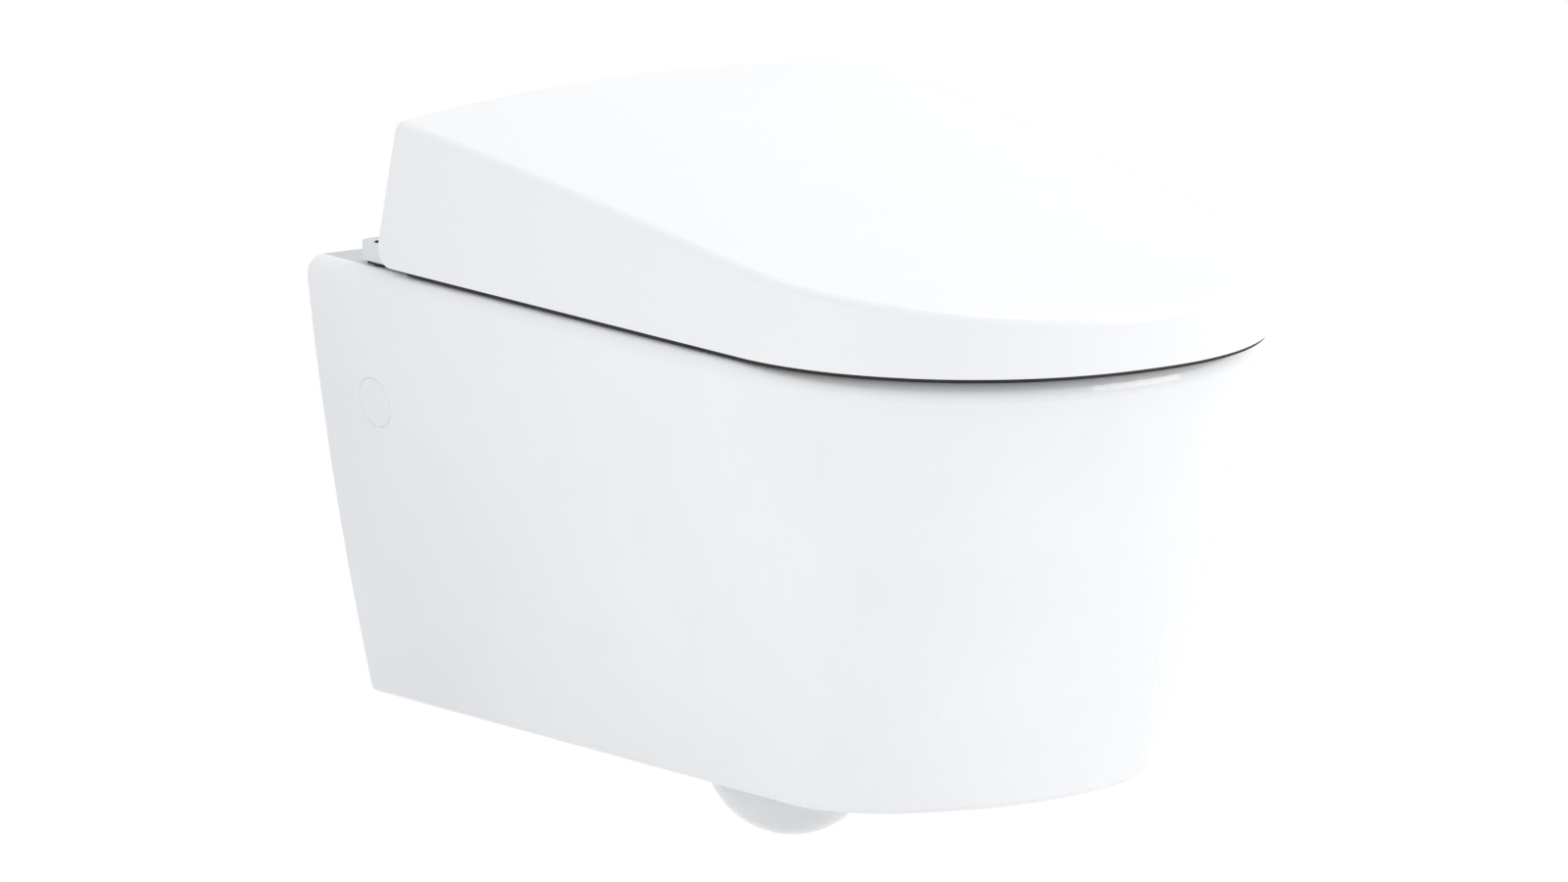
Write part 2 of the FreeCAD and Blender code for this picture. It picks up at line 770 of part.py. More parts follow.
def across_at(edge, back):
    box_now = edge.BoundBox
    return box_now.XLength > 1 and near(box_now.YMin, -value(back)) and near(box_now.YMax, -value(back))


def high(edge):
    return edge.BoundBox.ZMin > value("hinge_level") - 5


crown = rounded("crown", cover_block, "cover_crown", lambda edge: across_at(edge, "cover_back") and high(edge))
nose = rounded("nose", crown, "cover_nose_round", lambda edge: across_at(edge, "tray_front") and high(edge))
cover_solid = rounded("cover_solid", nose, "cover_edge_round",
                      lambda edge: high(edge) and edge.BoundBox.XLength < 0.01)
doc.recompute()
underside = [i + 1 for i, face in enumerate(cover_solid.Shape.Faces)
             if near(face.BoundBox.ZMax, value(FLOOR + " + fitting_gap"))]
cover_shell = doc.addObject("Part::Thickness", "cover_shell")
cover_shell.Faces = (cover_solid, ["Face%d" % underside[0]])
cover_shell.Join = 2
bind(cover_shell, {"Value": "-cover_wall"})
shaft_hole = rod("shaft_hole", "x", ("shaft_inner", *PIVOT), "shaft_radius + cover_gap", "cover_half")
inlet_hole = rod("inlet_hole", "y", ("inlet_side", "-valve_back", "inlet_height"),
                 "inlet_neck_radius + cover_gap", "valve_back")
gland_hole = rod("gland_hole", "y", ("gland_side", "-cover_back - 10", "inlet_height"),
                 "gland_radius + fitting_gap", "gland_length + 20")
FRONT = ("-tray_front - 1", "-tray_front + cover_wall + 1")
spray_gate = box("spray_gate", ("-guide_half - gate_gap", FRONT[0], "rim_level"),
                 ("guide_half + gate_gap", FRONT[1], FLOOR + " + gate_height"))
sensor_hole = box("sensor_hole", ("sensor_side", FRONT[0], "sensor_level"),
                  ("sensor_side + sensor_length", FRONT[1], "sensor_level + sensor_height"))
lamp_hole = box("lamp_hole", ("-lamp_side - lamp_length", FRONT[0], "lamp_level"),
                ("-lamp_side", FRONT[1], "lamp_level + lamp_height"))
TOP_SLOPE = "atan((cover_rear_level - cover_nose_level) / (tray_front - cover_back))"


def top_rod(name, side, radius, below, length):
    """A rod square to the sloping top of the cover, at the buttons."""
    top = "cover_nose_level + (tray_front - button_back) * tan(%s)" % TOP_SLOPE
    back = "-button_back + (%s) * sin(%s)" % (below, TOP_SLOPE)
    thing = rod(name, "z", (side, back, "%s - (%s) * cos(%s)" % (top, below, TOP_SLOPE)), radius, length)
    thing.Placement.Rotation = Rotation(Vector(1, 0, 0), 8)
    return bind(thing, {"Placement.Rotation.Angle": TOP_SLOPE})


button_sides = ("button_side", "button_side + button_spacing")
button_holes = [top_rod("button_hole", side, "button_radius + button_gap", "cover_wall * 3", "cover_wall * 6")
                for side in button_sides]
openings = [shaft_hole, mirrored(shaft_hole), inlet_hole, gland_hole, spray_gate, sensor_hole, lamp_hole]
node(cut("cover", cover_shell, *openings, *button_holes), "housing_cover")
for side, label in zip(button_sides, ("flush_button", "clean_button")):
    sunk = "button_height - button_travel - button_gap"
    node(top_rod(label, side, "button_radius", sunk, "button_height"), label)
WINDOW = ("-tray_front - contact_gap", "-tray_front + cover_wall + 2")
node(box("sensor", ("sensor_side + fitting_gap", WINDOW[0], "sensor_level + fitting_gap"),
         ("sensor_side + sensor_length - fitting_gap", WINDOW[1],
          "sensor_level + sensor_height - fitting_gap")), "presence_sensor")
node(box("lamp", ("-lamp_side - lamp_length + fitting_gap", WINDOW[0], "lamp_level + fitting_gap"),
         ("-lamp_side - fitting_gap", WINDOW[1], "lamp_level + lamp_height - fitting_gap")), "night_light")

# Hinge: steel shafts, each in a damper that a bracket holds up from the tray.
shaft_end = LID_FACE + " + lid_pin_depth - shaft_end_gap"
shaft = rod("shaft", "x", ("shaft_inner", *PIVOT), "shaft_radius", "%s - shaft_inner" % shaft_end)
node(pair("shafts", shaft), "hinge_shafts")
DAMPER_START = "cover_half - cover_wall - fitting_gap - damper_length"
damper_body = rod("damper_body", "x", (DAMPER_START, *PIVOT), "damper_radius", "damper_length")
damper_bore = rod("damper_bore", "x", ("shaft_inner - fitting_gap", *PIVOT), "shaft_radius + shaft_gap",
                  "damper_length")
damper = cut("damper", damper_body, damper_bore)
node(mirrored(damper), "seat_damper")
node(damper, "lid_damper")
BRACKET = DAMPER_START + " + bracket_inset"
bracket_post = box("bracket_post", (BRACKET, "-hinge_back - bracket_half_width", FLOOR),
                   (BRACKET + " + bracket_length", "-hinge_back + bracket_half_width", "hinge_level"))
bracket_saddle = rod("bracket_saddle", "x", (DAMPER_START, *PIVOT), "damper_radius + fitting_gap",
                     "damper_length")
node(pair("brackets", cut("bracket", bracket_post, bracket_saddle)), "hinge_brackets")

# Spray arm: a tube that slides down out of its guide, with a nozzle that runs out of it.


def along(distance):
    """A point on the spray's axis, so far in front of the arm's tip when it is drawn in."""
    return ("0", "-spray_back + (spray_tip - (%s)) * cos(spray_slope)" % distance,
            "spray_level + (spray_tip - (%s)) * sin(spray_slope)" % distance)


def spray_rod(name, start, radius, length):
    thing = rod(name, "z", along(start), radius, length)
    thing.Placement.Rotation = Rotation(Vector(1, 0, 0), 125)
    return bind(thing, {"Placement.Rotation.Angle": "90 + spray_slope"})


guide_block = box("guide_block", ("0", "0", "0"), ("guide_half * 2", "guide_half * 2", "guide_length"))
GUIDE_START = "-guide_length - guide_start"
guide_block.Placement.Rotation = Rotation(Vector(1, 0, 0), 125)
bind(guide_block, {
    "Placement.Rotation.Angle": "90 + spray_slope", "Placement.Base.x": "-guide_half",
    "Placement.Base.y": along(GUIDE_START)[1] + " + guide_half * sin(spray_slope)",
    "Placement.Base.z": along(GUIDE_START)[2] + " - guide_half * cos(spray_slope)"})
guide_bore = spray_rod("guide_bore", GUIDE_START + " - 1", "spray_radius + slide_gap", "guide_length + 2")
GUIDE_LEG = along(GUIDE_START + " + guide_leg")
guide_post = box("guide_post", ("-guide_half", GUIDE_LEG[1] + " - guide_leg_half", FLOOR),
                 ("guide_half", GUIDE_LEG[1] + " + guide_leg_half", GUIDE_LEG[2]))
node(cut("guide", fuse("guide_solid", guide_block, guide_post), guide_bore), "arm_guide")
SPRAY_LENGTH = "(spray_travel + spray_overlap)"
arm_tube = spray_rod("arm_tube", "-" + SPRAY_LENGTH, "spray_radius", SPRAY_LENGTH)
arm_disc = spray_rod("arm_disc", "0", "spray_radius * 1.25", "spray_shield")
arm_bore = spray_rod("arm_bore", "spray_shield + 1 - " + SPRAY_LENGTH, "nozzle_radius + slide_gap",
                     SPRAY_LENGTH + " + 2 * spray_shield")
node(cut("arm", fuse("arm_solid", arm_tube, arm_disc), arm_bore), "spray_arm")
NOZZLE_LENGTH = "(nozzle_travel + nozzle_overlap)"
nozzle_tube = spray_rod("nozzle_tube", "spray_shield - " + NOZZLE_LENGTH, "nozzle_radius", NOZZLE_LENGTH)
nozzle_bore = spray_rod("nozzle_bore", "spray_shield - 1 - " + NOZZLE_LENGTH, "nozzle_radius / 2",
                        NOZZLE_LENGTH + " - nozzle_cap - 1")
jet_hole = rod("jet_hole", "z", along("-jet_back"), "jet_radius", "nozzle_radius * 3")
node(cut("nozzle", nozzle_tube, nozzle_bore, jet_hole), "spray_nozzle")

# Pieces on the tray, inside the housing.
tank = box("tank", ("-tank_side - tank_half_length", "-tank_back - tank_width", FLOOR),
           ("-tank_side + tank_half_length", "-tank_back", FLOOR + " + tank_height"))
node(rounded("tank_round", tank, "tank_round", upright), "heater_tank")
node(rod("pump", "x", ("pump_side", "-pump_back", FLOOR + " + pump_radius"), "pump_radius", "pump_length"),
     "water_pump")
board = box("board", ("-board_side - board_length", "-board_back - board_width", FLOOR + " + board_lift"),
            ("-board_side", "-board_back", FLOOR + " + board_lift + board_thickness"))
posts = [box("board_foot", (x, y, FLOOR), (x + " + board_post", y + " + board_post", FLOOR + " + board_lift"))
         for x in ("-board_side - board_length + board_margin", "-board_side - board_post - board_margin")
         for y in ("-board_back - board_width + board_margin", "-board_back - board_post - board_margin")]
node(fuse("board_solid", board, *posts), "control_board")
node(box("valve", ("valve_side", "-valve_back - valve_width", FLOOR),
         ("valve_side + valve_length", "-valve_back", FLOOR + " + valve_height")), "valve_block")
FLANGE_START = "-cover_back + cover_gap"
inlet_neck = rod("inlet_neck", "y", ("inlet_side", "-valve_back", "inlet_height"), "inlet_neck_radius",
                 "valve_back - cover_back + cover_gap + 1")
inlet_washer = rod("inlet_flange_ring", "y", ("inlet_side", FLANGE_START, "inlet_height"),
                   "inlet_flange_radius", "inlet_flange")
inlet_thread = rod("inlet_thread", "y", ("inlet_side", FLANGE_START + " + inlet_flange", "inlet_height"),
                   "inlet_thread_radius", "cover_back - cover_gap - inlet_flange - inlet_thread_end")
inlet_drill = rod("inlet_bore_tool", "y", ("inlet_side", "-valve_back - 1", "inlet_height"), "inlet_pipe_bore",
                 "valve_back")
inlet_solid = fuse("inlet_solid", inlet_neck, inlet_washer, inlet_thread)
node(cut("inlet_fitting", inlet_solid, inlet_drill), "water_inlet")
GLAND_START = "-cover_back - 3 * cover_wall"
gland_body = rod("gland_body", "y", ("gland_side", GLAND_START, "inlet_height"), "gland_radius", "gland_length")
gland_drill = rod("gland_bore_tool", "y", ("gland_side", GLAND_START + " - 1", "inlet_height"), "gland_bore",
                 "gland_length + 2")
node(cut("gland", gland_body, gland_drill), "power_gland")
node(box("filter", ("filter_side", "-filter_back - filter_width", FLOOR),
         ("filter_side + filter_length", "-filter_back", FLOOR + " + filter_height")), "odour_filter")
FAN = ("fan_side", "-fan_back")
fan_case = rod("fan_case", "z", (*FAN, FLOOR), "fan_radius + fan_wall", "fan_height")
fan_room = rod("fan_room", "z", (*FAN, FLOOR + " + fan_wall"), "fan_radius", "fan_height - 2 * fan_wall")
fan_eye = rod("fan_eye", "z", (*FAN, FLOOR + " + fan_wall"), "fan_eye_radius", "fan_height")
fan_pin = rod("fan_pin", "z", (*FAN, FLOOR + " + fan_wall"), "fan_pin_radius", "rotor_height + fan_wall")
node(fuse("fan_housing_solid", cut("fan_shell", fan_case, fan_room, fan_eye), fan_pin), "fan_housing")
ROTOR_START = FLOOR + " + fan_wall + contact_gap"
rotor_disc = rod("rotor_disc", "z", (*FAN, ROTOR_START), "fan_radius - rotor_gap", "rotor_skin")
rotor_hub = rod("rotor_hub", "z", (*FAN, ROTOR_START), "fan_hub", "rotor_height")
blades = []
for step in range(int(value("fan_blades"))):
    blade = doc.addObject("Part::Box", "blade")
    bind(blade, {"Length": "blade_length", "Width": "rotor_skin", "Height": "rotor_height"})
    turn = "%d * 360 / fan_blades" % step
    blade.Placement.Rotation = Rotation(Vector(0, 0, 1), 1)
    bind(blade, {"Placement.Rotation.Angle": turn,
                 "Placement.Base.x": "fan_side + blade_ring * cos(%s)" % turn,
                 "Placement.Base.y": "-fan_back + blade_ring * sin(%s)" % turn,
                 "Placement.Base.z": ROTOR_START})
    blades.append(blade)
rotor_bore = rod("rotor_bore", "z", (*FAN, FLOOR), "fan_pin_radius + shaft_gap", "fan_height")
node(cut("rotor", fuse("rotor_solid", rotor_disc, rotor_hub, *blades), rotor_bore), "fan_rotor")

# Seat: a ring in two halves with the heater between them, and two arms back to the hinge.
SEAT = "(rim_level + seat_lift)"
SEAT_TOP = "(rim_level + seat_lift + seat_height)"
SEAT_INSET = "lid_wall + seat_gap + (%s)"


def seat_ring(name, level, height, inset):
    """The seat's plan as a slab: a D cut off behind, round an oval hole, all drawn in by an inset."""
    edge = SEAT_INSET % inset
    plan = outline(name + "_outline", level, "lid_half - (%s)" % edge, "lid_taper", "lid_length - (%s)" % edge,
                   "lid_corner - (%s)" % edge, "lid_front - (%s)" % edge)
    slab = extruded(name + "_slab", plan, height)
    front = box(name + "_front", ("-lid_half", "-lid_length", level),
                ("lid_half", "-seat_rear - (%s)" % inset, "%s + (%s)" % (level, height)))
    rim = oval(name + "_oval", level, "seat_hole_centre", "seat_hole_half + (%s)" % inset,
               "seat_hole_reach + (%s)" % inset)
    hole = extruded(name + "_hole", rim, height)
    return cut(name, common(name + "_solid", slab, front), hole)


top_level = SEAT + " + seat_base_height"
top_height = "seat_height - seat_base_height"
ring = seat_ring("ring", top_level, top_height, "0")


def on_seat_top(edge):
    return near(edge.BoundBox.ZMin, value(SEAT_TOP)) and near(edge.BoundBox.ZMax, value(SEAT_TOP))


def hole_edge(edge):
    return on_seat_top(edge) and edge.Curve.TypeId == "Part::GeomEllipse"


outer_round = rounded("outer_round", ring, "seat_round", lambda edge: on_seat_top(edge) and not hole_edge(edge))
inner_round = rounded("inner_round", outer_round, "seat_inner_round", hole_edge)
arm_bar = side_prism("arm_bar", [
    ("-hinge_back - arm_waist", "hinge_level + arm_hub - 1"),
    ("-seat_rear - arm_toe", SEAT_TOP + " - seat_round + 1"),
    ("-seat_rear - arm_toe", top_level), ("-seat_rear + arm_root", top_level),
    ("-hinge_back + arm_waist", "hinge_level - arm_hub + 1")], "arm_inner", ARM_OUTER)
arm_eye = rod("arm_eye", "x", ("arm_inner", *PIVOT), "arm_hub", "arm_thickness")
seat_arm = fuse("seat_arm", arm_bar, arm_eye)
pocket = seat_ring("pocket", top_level, "seat_height - seat_base_height - seat_skin", "seat_rim")
arm_bore = rod("arm_bore_tool", "x", ("arm_inner - 1", *PIVOT), "shaft_radius + shaft_gap", "arm_thickness + 2")
seat_top_solid = fuse("seat_top_solid", inner_round, seat_arm, mirrored(seat_arm))
node(cut("seat_top_cut", seat_top_solid, pocket, arm_bore, mirrored(arm_bore)), "seat_top")
node(seat_ring("base", SEAT, "seat_base_height", "0"), "seat_base")
node(seat_ring("heater", SEAT_TOP + " - seat_skin - heater_thickness", "heater_thickness",
               "seat_rim + fitting_gap"), "seat_heater")
feet = []
for place in ("rear", "front"):
    side, back = "%s_buffer_side" % place, "%s_buffer_back" % place
    foot = box("foot", (side, "-%s - buffer_length / 2" % back, "rim_level + contact_gap"),
               (side + " + buffer_width", "-%s + buffer_length / 2" % back, SEAT))
    feet += [foot, mirrored(foot)]
node(group("seat_feet", *feet), "seat_buffers")

# Lid: a one-piece shell with a crowned top, cheeks beside the housing and no back.
LID = "(rim_level + lid_gap)"


def lid_blank(name, inset):
    """The lid's outline carried up, leaning in at the sides and out at the front."""
    low = outline(name + "_low", LID, "lid_half - (%s)" % inset, "lid_taper", "lid_length - (%s)" % inset,
                  "lid_corner - (%s)" % inset, "lid_front - (%s)" % inset)
    top = outline(name + "_top", LID + " + lid_block", "lid_half - lid_side_lean - (%s)" % inset, "lid_taper",
                  "lid_length + lid_front_flare - (%s)" % inset, "lid_corner + lid_side_lean - (%s)" % inset,
                  "lid_front + lid_front_flare / 2 - (%s)" % inset)
    return loft(name, [low, top])


# Where the arches of the lid's top stand between its back and its front, as shares.
SKY_SHARES = (-0.04, 0.26, 0.56, 0.81, 1.04)


def sky(name, drop):
    """Everything above the lid's crowned top, lofted through arches a tenth wider than the lid."""
    half = "(lid_half * 1.1)"
    sections = []
    for share in SKY_SHARES:
        back = "(lid_back + (lid_length - lid_back) * %s)" % share
        side = ("%s - (%s) + lid_front_height + (lid_rear_height - lid_front_height) * (1 - %s)"
                " * (1 + lid_bow * %s - lid_dip * %s * %s)" % (LID, drop, share, share, share, share))
        rise = "(lid_crown_front + (lid_crown - lid_crown_front) * (1 - %s * %s))" % (share, share)
        sag = "(%s * 1.1 * 1.1)" % rise
        end_level = "%s + %s - %s" % (side, rise, sag)
        sections.append(arch("%s_arch_%d" % (name, len(sections)), back, half, end_level, sag))
    return loft(name, sections)


def arch(name, back, half, end_level, sag):
    """A section across the width: an arc below, straight sides and top above."""
    sketch = doc.addObject("Sketcher::SketchObject", name)
    sketch.Placement.Rotation = Rotation(Vector(1, 0, 0), 90)
    half_now, low_now, sag_now = value(half), value(end_level), value(sag)
    top_now = value(LID + " + lid_block + lid_sky")
    left, right = Vector(-half_now, low_now, 0), Vector(half_now, low_now, 0)
    high_right, high_left = Vector(half_now, top_now, 0), Vector(-half_now, top_now, 0)
    sketch.addGeometry([
        Part.Arc(left, Vector(0, low_now + sag_now, 0), right), Part.LineSegment(right, high_right),
        Part.LineSegment(high_right, high_left), Part.LineSegment(high_left, left)], False)
    start = 1 if sketch.getPoint(0, 1).distanceToPoint(right) < 0.001 else 2
    rule = Sketcher.Constraint
    sketch.addConstraint([
        rule("Coincident", 0, start, 1, 1), rule("Coincident", 1, 2, 2, 1), rule("Coincident", 2, 2, 3, 1),
        rule("Coincident", 3, 2, 0, 3 - start), rule("Vertical", 1), rule("Symmetric", 1, 1, 3, 2, -2),
        rule("Symmetric", 1, 2, 2, 2, -2)])
    for kind, places, text in (
            ("DistanceX", (-1, 1, 1, 1), half), ("DistanceY", (-1, 1, 1, 1), end_level),
            ("DistanceY", (-1, 1, 1, 2), LID + " + lid_block + lid_sky"),
            ("Radius", (0,), "(%s * %s + %s * %s) / (2 * %s)" % (half, half, sag, sag, sag))):
        number = sketch.addConstraint(rule(kind, *places, value(text)))
        bind(sketch, {"Constraints[%d]" % number: text})
    return bind(sketch, {"Placement.Base.y": "-" + back})


rear_slope = "lid_rear_slant / lid_rear_height"
rear_cutter = side_prism("rear_cutter", [
    ("1", LID + " - 1"), ("1", LID + " + lid_block + 1"),
    ("-lid_back - (lid_block + 1) * %s" % rear_slope, LID + " + lid_block + 1"),
    ("-lid_back + %s" % rear_slope, LID + " - 1")], "-lid_half - 1", "lid_half + 1")
lid_solid = cut("lid_solid", lid_blank("lid_outside", "0"), sky("lid_sky", "0"), rear_cutter)
heel = rounded("heel", lid_solid, "lid_heel", lambda edge: across_at(edge, "lid_back"))
crease = rounded("crease", heel, "lid_edge_round",
                 lambda edge: edge.BoundBox.ZMin > value(LID + " + lid_front_height - lid_edge_round")
                 and edge.BoundBox.YMin < value("-lid_back - 2 * lid_rear_slant"))
cavity = cut("cavity", lid_blank("lid_inside", "lid_wall"), sky("lid_ceiling", "lid_wall"))
lid_boss_rod = rod("lid_boss_rod", "x", (LID_FACE, *PIVOT), "lid_boss_radius", "lid_half")
lid_boss = common("lid_boss", lid_boss_rod, crease)
lid_pin_hole = rod("lid_pin_hole", "x", (LID_FACE + " - 1", *PIVOT), "shaft_radius + shaft_gap",
                   "lid_pin_depth + 1")
lid_bossed = fuse("lid_bossed", cut("lid_hollowed", crease, cavity), lid_boss, mirrored(lid_boss))
node(cut("lid", lid_bossed, lid_pin_hole, mirrored(lid_pin_hole)), "lid_shell")
lid_feet = []
for place in ("rear", "front"):
    side, back = "%s_peg_side" % place, "-%s_peg_back" % place
    lid_foot = rod("lid_foot", "z", (side, back, SEAT_TOP + " + contact_gap"), "lid_buffer_radius", "lid_block")
    peg = common("lid_peg", lid_foot, cavity)
    lid_feet += [peg, mirrored(peg)]
node(group("lid_pegs", *lid_feet), "lid_buffers")

# Every object has to be sound before anything is written.
doc.recompute()
faults = [thing.Name for thing in doc.Objects
          if any(state in ("Invalid", "Error") for state in thing.State)]
faults += [thing.Label for thing in nodes if thing.Shape.isNull() or not thing.Shape.isValid()]
if faults:
    raise RuntimeError("these are not sound: " + ", ".join(faults))
os.makedirs("parts", exist_ok=True)
for thing in nodes:
    thing.Shape.exportStep("parts/%s.step" % thing.Label)
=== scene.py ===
"""Wall-hung shower toilet with a heated seat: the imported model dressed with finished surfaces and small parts."""

import math

import bmesh
import bpy
from mathutils import Matrix, Vector


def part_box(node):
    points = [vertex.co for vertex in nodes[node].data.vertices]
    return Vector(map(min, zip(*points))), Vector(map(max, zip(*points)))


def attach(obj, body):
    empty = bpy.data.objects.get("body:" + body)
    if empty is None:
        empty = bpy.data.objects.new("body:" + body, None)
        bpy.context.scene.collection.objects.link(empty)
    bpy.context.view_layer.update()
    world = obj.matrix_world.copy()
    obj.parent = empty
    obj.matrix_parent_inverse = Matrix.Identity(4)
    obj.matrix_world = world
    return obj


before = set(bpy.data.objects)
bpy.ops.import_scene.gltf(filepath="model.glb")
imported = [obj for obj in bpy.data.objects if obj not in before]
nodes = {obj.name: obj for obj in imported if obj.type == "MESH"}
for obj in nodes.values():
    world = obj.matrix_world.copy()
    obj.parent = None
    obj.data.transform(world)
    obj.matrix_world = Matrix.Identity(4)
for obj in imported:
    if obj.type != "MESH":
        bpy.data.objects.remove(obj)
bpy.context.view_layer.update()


# ---------------------------------------------------------------------------------------------- camera
# A long lens stands to the left of the front, a little above the lid, and keeps the upright edges almost parallel.
# It leans by a third of a degree, and aims beside the middle so that the lid's front has room on the right.
IMAGE_WIDTH, SENSOR_WIDTH = 1600, 36.0
YAW, PITCH, ROLL = math.radians(-35.795), math.radians(11.092), math.radians(0.355)
STANDOFF, PIXELS_PER_METRE = 10.0, 1772.0
AIM = Vector((0, -0.28, -0.005))
AIM_RIGHT, AIM_DOWN = 64.5 / PIXELS_PER_METRE, 0.4 / PIXELS_PER_METRE

backward = Vector((math.sin(YAW) * math.cos(PITCH), -math.cos(YAW) * math.cos(PITCH), math.sin(PITCH)))
level = Vector((math.cos(YAW), math.sin(YAW), 0))
upright = backward.cross(level)
right = level * math.cos(ROLL) + upright * math.sin(ROLL)
up = upright * math.cos(ROLL) - level * math.sin(ROLL)

lens = bpy.data.cameras.new("studio_lens")
lens.sensor_width = SENSOR_WIDTH
lens.lens = SENSOR_WIDTH * PIXELS_PER_METRE * STANDOFF / IMAGE_WIDTH
lens.clip_end = 60
camera = bpy.data.objects.new("studio_camera", lens)
bpy.context.collection.objects.link(camera)
place = AIM + backward * STANDOFF - right * AIM_RIGHT + up * AIM_DOWN
camera.matrix_world = Matrix.Translation(place) @ Matrix((right, up, backward)).transposed().to_4x4()
bpy.context.scene.camera = camera


# ---------------------------------------------------------------------------------------------- studio
# A pale floor lies 320 mm under the wall studs, where the pan's rim stands 400 mm above it.
# The camera sees it and the sky as white, and two broad soft lamps give the top more light than the sides.
FLOOR_LEVEL, FLOOR_REACH = -0.32, 20.0
SKY, SKY_LEVEL = "#FAFCFF", 0.785


def linear(colour):
    """The linear red, green, blue and alpha of a colour written as #RRGGBB in sRGB."""
    parts = [int(colour[i : i + 2], 16) / 255 for i in (1, 3, 5)]
    return [p / 12.92 if p <= 0.04045 else ((p + 0.055) / 1.055) ** 2.4 for p in parts] + [1]


def add(tree, kind, inputs=None, **settings):
    """Adds a node with its settings; each input is a value, or the socket that feeds it."""
    made = tree.nodes.new(kind)
    for name, value in settings.items():
        setattr(made, name, value)
    for name, value in (inputs or {}).items():
        if isinstance(value, bpy.types.NodeSocket):
            tree.links.new(value, made.inputs[name])
        else:
            made.inputs[name].default_value = value
    return made


def seen_white(tree, lit):
    """A shader that is plain white to the camera, mirrors and glass, and otherwise the given one."""
    path = add(tree, "ShaderNodeLightPath").outputs
    direct = add(tree, "ShaderNodeMath", {0: path["Is Camera Ray"], 1: path["Is Glossy Ray"]}, operation="MAXIMUM")
    seen = add(tree, "ShaderNodeMath", {0: direct.outputs[0], 1: path["Is Transmission Ray"]}, operation="MAXIMUM")
    white = add(tree, "ShaderNodeEmission", {"Color": linear("#FFFFFF"), "Strength": 1.0})
    return add(tree, "ShaderNodeMixShader", {0: seen.outputs[0], 1: lit, 2: white.outputs[0]}).outputs[0]


sky = bpy.data.worlds.new("studio_sky")
sky.use_nodes = True
sky.node_tree.nodes.clear()
glow = add(sky.node_tree, "ShaderNodeBackground", {"Color": linear(SKY), "Strength": SKY_LEVEL})
add(sky.node_tree, "ShaderNodeOutputWorld", {"Surface": seen_white(sky.node_tree, glow.outputs[0])})
bpy.context.scene.world = sky
bpy.context.scene.view_settings.view_transform = "Standard"


def mesh_piece(name, vertices, faces):
    """A new mesh object with the given corners and faces, its place in its mesh."""
    mesh = bpy.data.meshes.new(name)
    mesh.from_pydata(vertices, [], faces)
    made = bpy.data.objects.new(name, mesh)
    bpy.context.collection.objects.link(made)
    return made


paper = bpy.data.materials.new("white_studio_paper")
paper.use_nodes = True
paper.node_tree.nodes.clear()
card = add(paper.node_tree, "ShaderNodeBsdfDiffuse", {"Color": linear("#F4F5F6")})
add(paper.node_tree, "ShaderNodeOutputMaterial", {"Surface": seen_white(paper.node_tree, card.outputs[0])})
floor = mesh_piece(
    "studio_floor",
    [(x * FLOOR_REACH, y * FLOOR_REACH, FLOOR_LEVEL) for x, y in ((-1, -1), (1, -1), (1, 1), (-1, 1))],
    [(0, 1, 2, 3)],
)
floor.data.materials.append(paper)


def studio_card(name, kind, colour, start, end, low, high, back):
    """An upright card from start to end along X, that the camera doesn't see, of one plain shader."""
    material = bpy.data.materials.new(name + "_board")
    material.use_nodes = True
    material.node_tree.nodes.clear()
    face = add(material.node_tree, kind, {"Color": linear(colour)})
    add(material.node_tree, "ShaderNodeOutputMaterial", {"Surface": face.outputs[0]})
    corners = [(start, back, low), (end, back, low), (end, back, high), (start, back, high)]
    made = mesh_piece(name, corners, [(0, 1, 2, 3)])
    made.data.materials.append(material)
    made.visible_camera = False
    return made


# A grey felt flag stands beside the wall on the left and takes the light off the pan's rear edge, as a wall would.
flag = studio_card("left_flag", "ShaderNodeBsdfDiffuse", "#C8CCCF",
                   start=-0.2, end=-0.5, low=FLOOR_LEVEL, high=0.07, back=0.03)
flag.visible_glossy = False

# A grey card a metre behind shows in the glaze alone: it parts the rim's top from the white of the background.
rear_card = studio_card("rear_card", "ShaderNodeEmission", "#B6B9BB",
                        start=-0.3, end=0.95, low=-0.1, high=0.4, back=1.0)
rear_card.visible_diffuse = False
rear_card.visible_shadow = False


def lamp(name, place, aim, size, power, colour):
    """A square soft lamp that faces the aim; the glaze mirrors the broad ones alone."""
    light = bpy.data.lights.new(name, "AREA")
    light.color = linear(colour)[:3]
    light.size = size
    light.energy = power
    made = bpy.data.objects.new(name, light)
    made.location = place
    made.rotation_euler = (Vector(aim) - Vector(place)).to_track_quat("-Z", "Y").to_euler()
    made.visible_camera = False
    made.visible_glossy = size > 1
    bpy.context.collection.objects.link(made)


# The ceiling's light comes from the right, so that the lid's cheek shades the left, and a small card fills it.
lamp("ceiling_softbox", (1.0, -0.7, 2.2), (0, -0.28, 0), 2.2, 18, "#FFFFFF")
lamp("front_softbox", (1.9, -2.6, 0.7), (0, -0.28, -0.05), 1.8, 22, "#FFFAF5")
lamp("left_bounce_card", (-1.1, -0.5, 0.05), (-0.18, -0.25, -0.02), 0.7, 1.5, "#FFF9F2")


# ---------------------------------------------------------------------------------------------- pan
# The pan is vitreous china, slip-cast in one piece and fired under a white glaze that is thick, glossy and a
# touch uneven. It hangs on two studs, and its skirt hides the trap and the bolts from the sides.
MM = 0.001


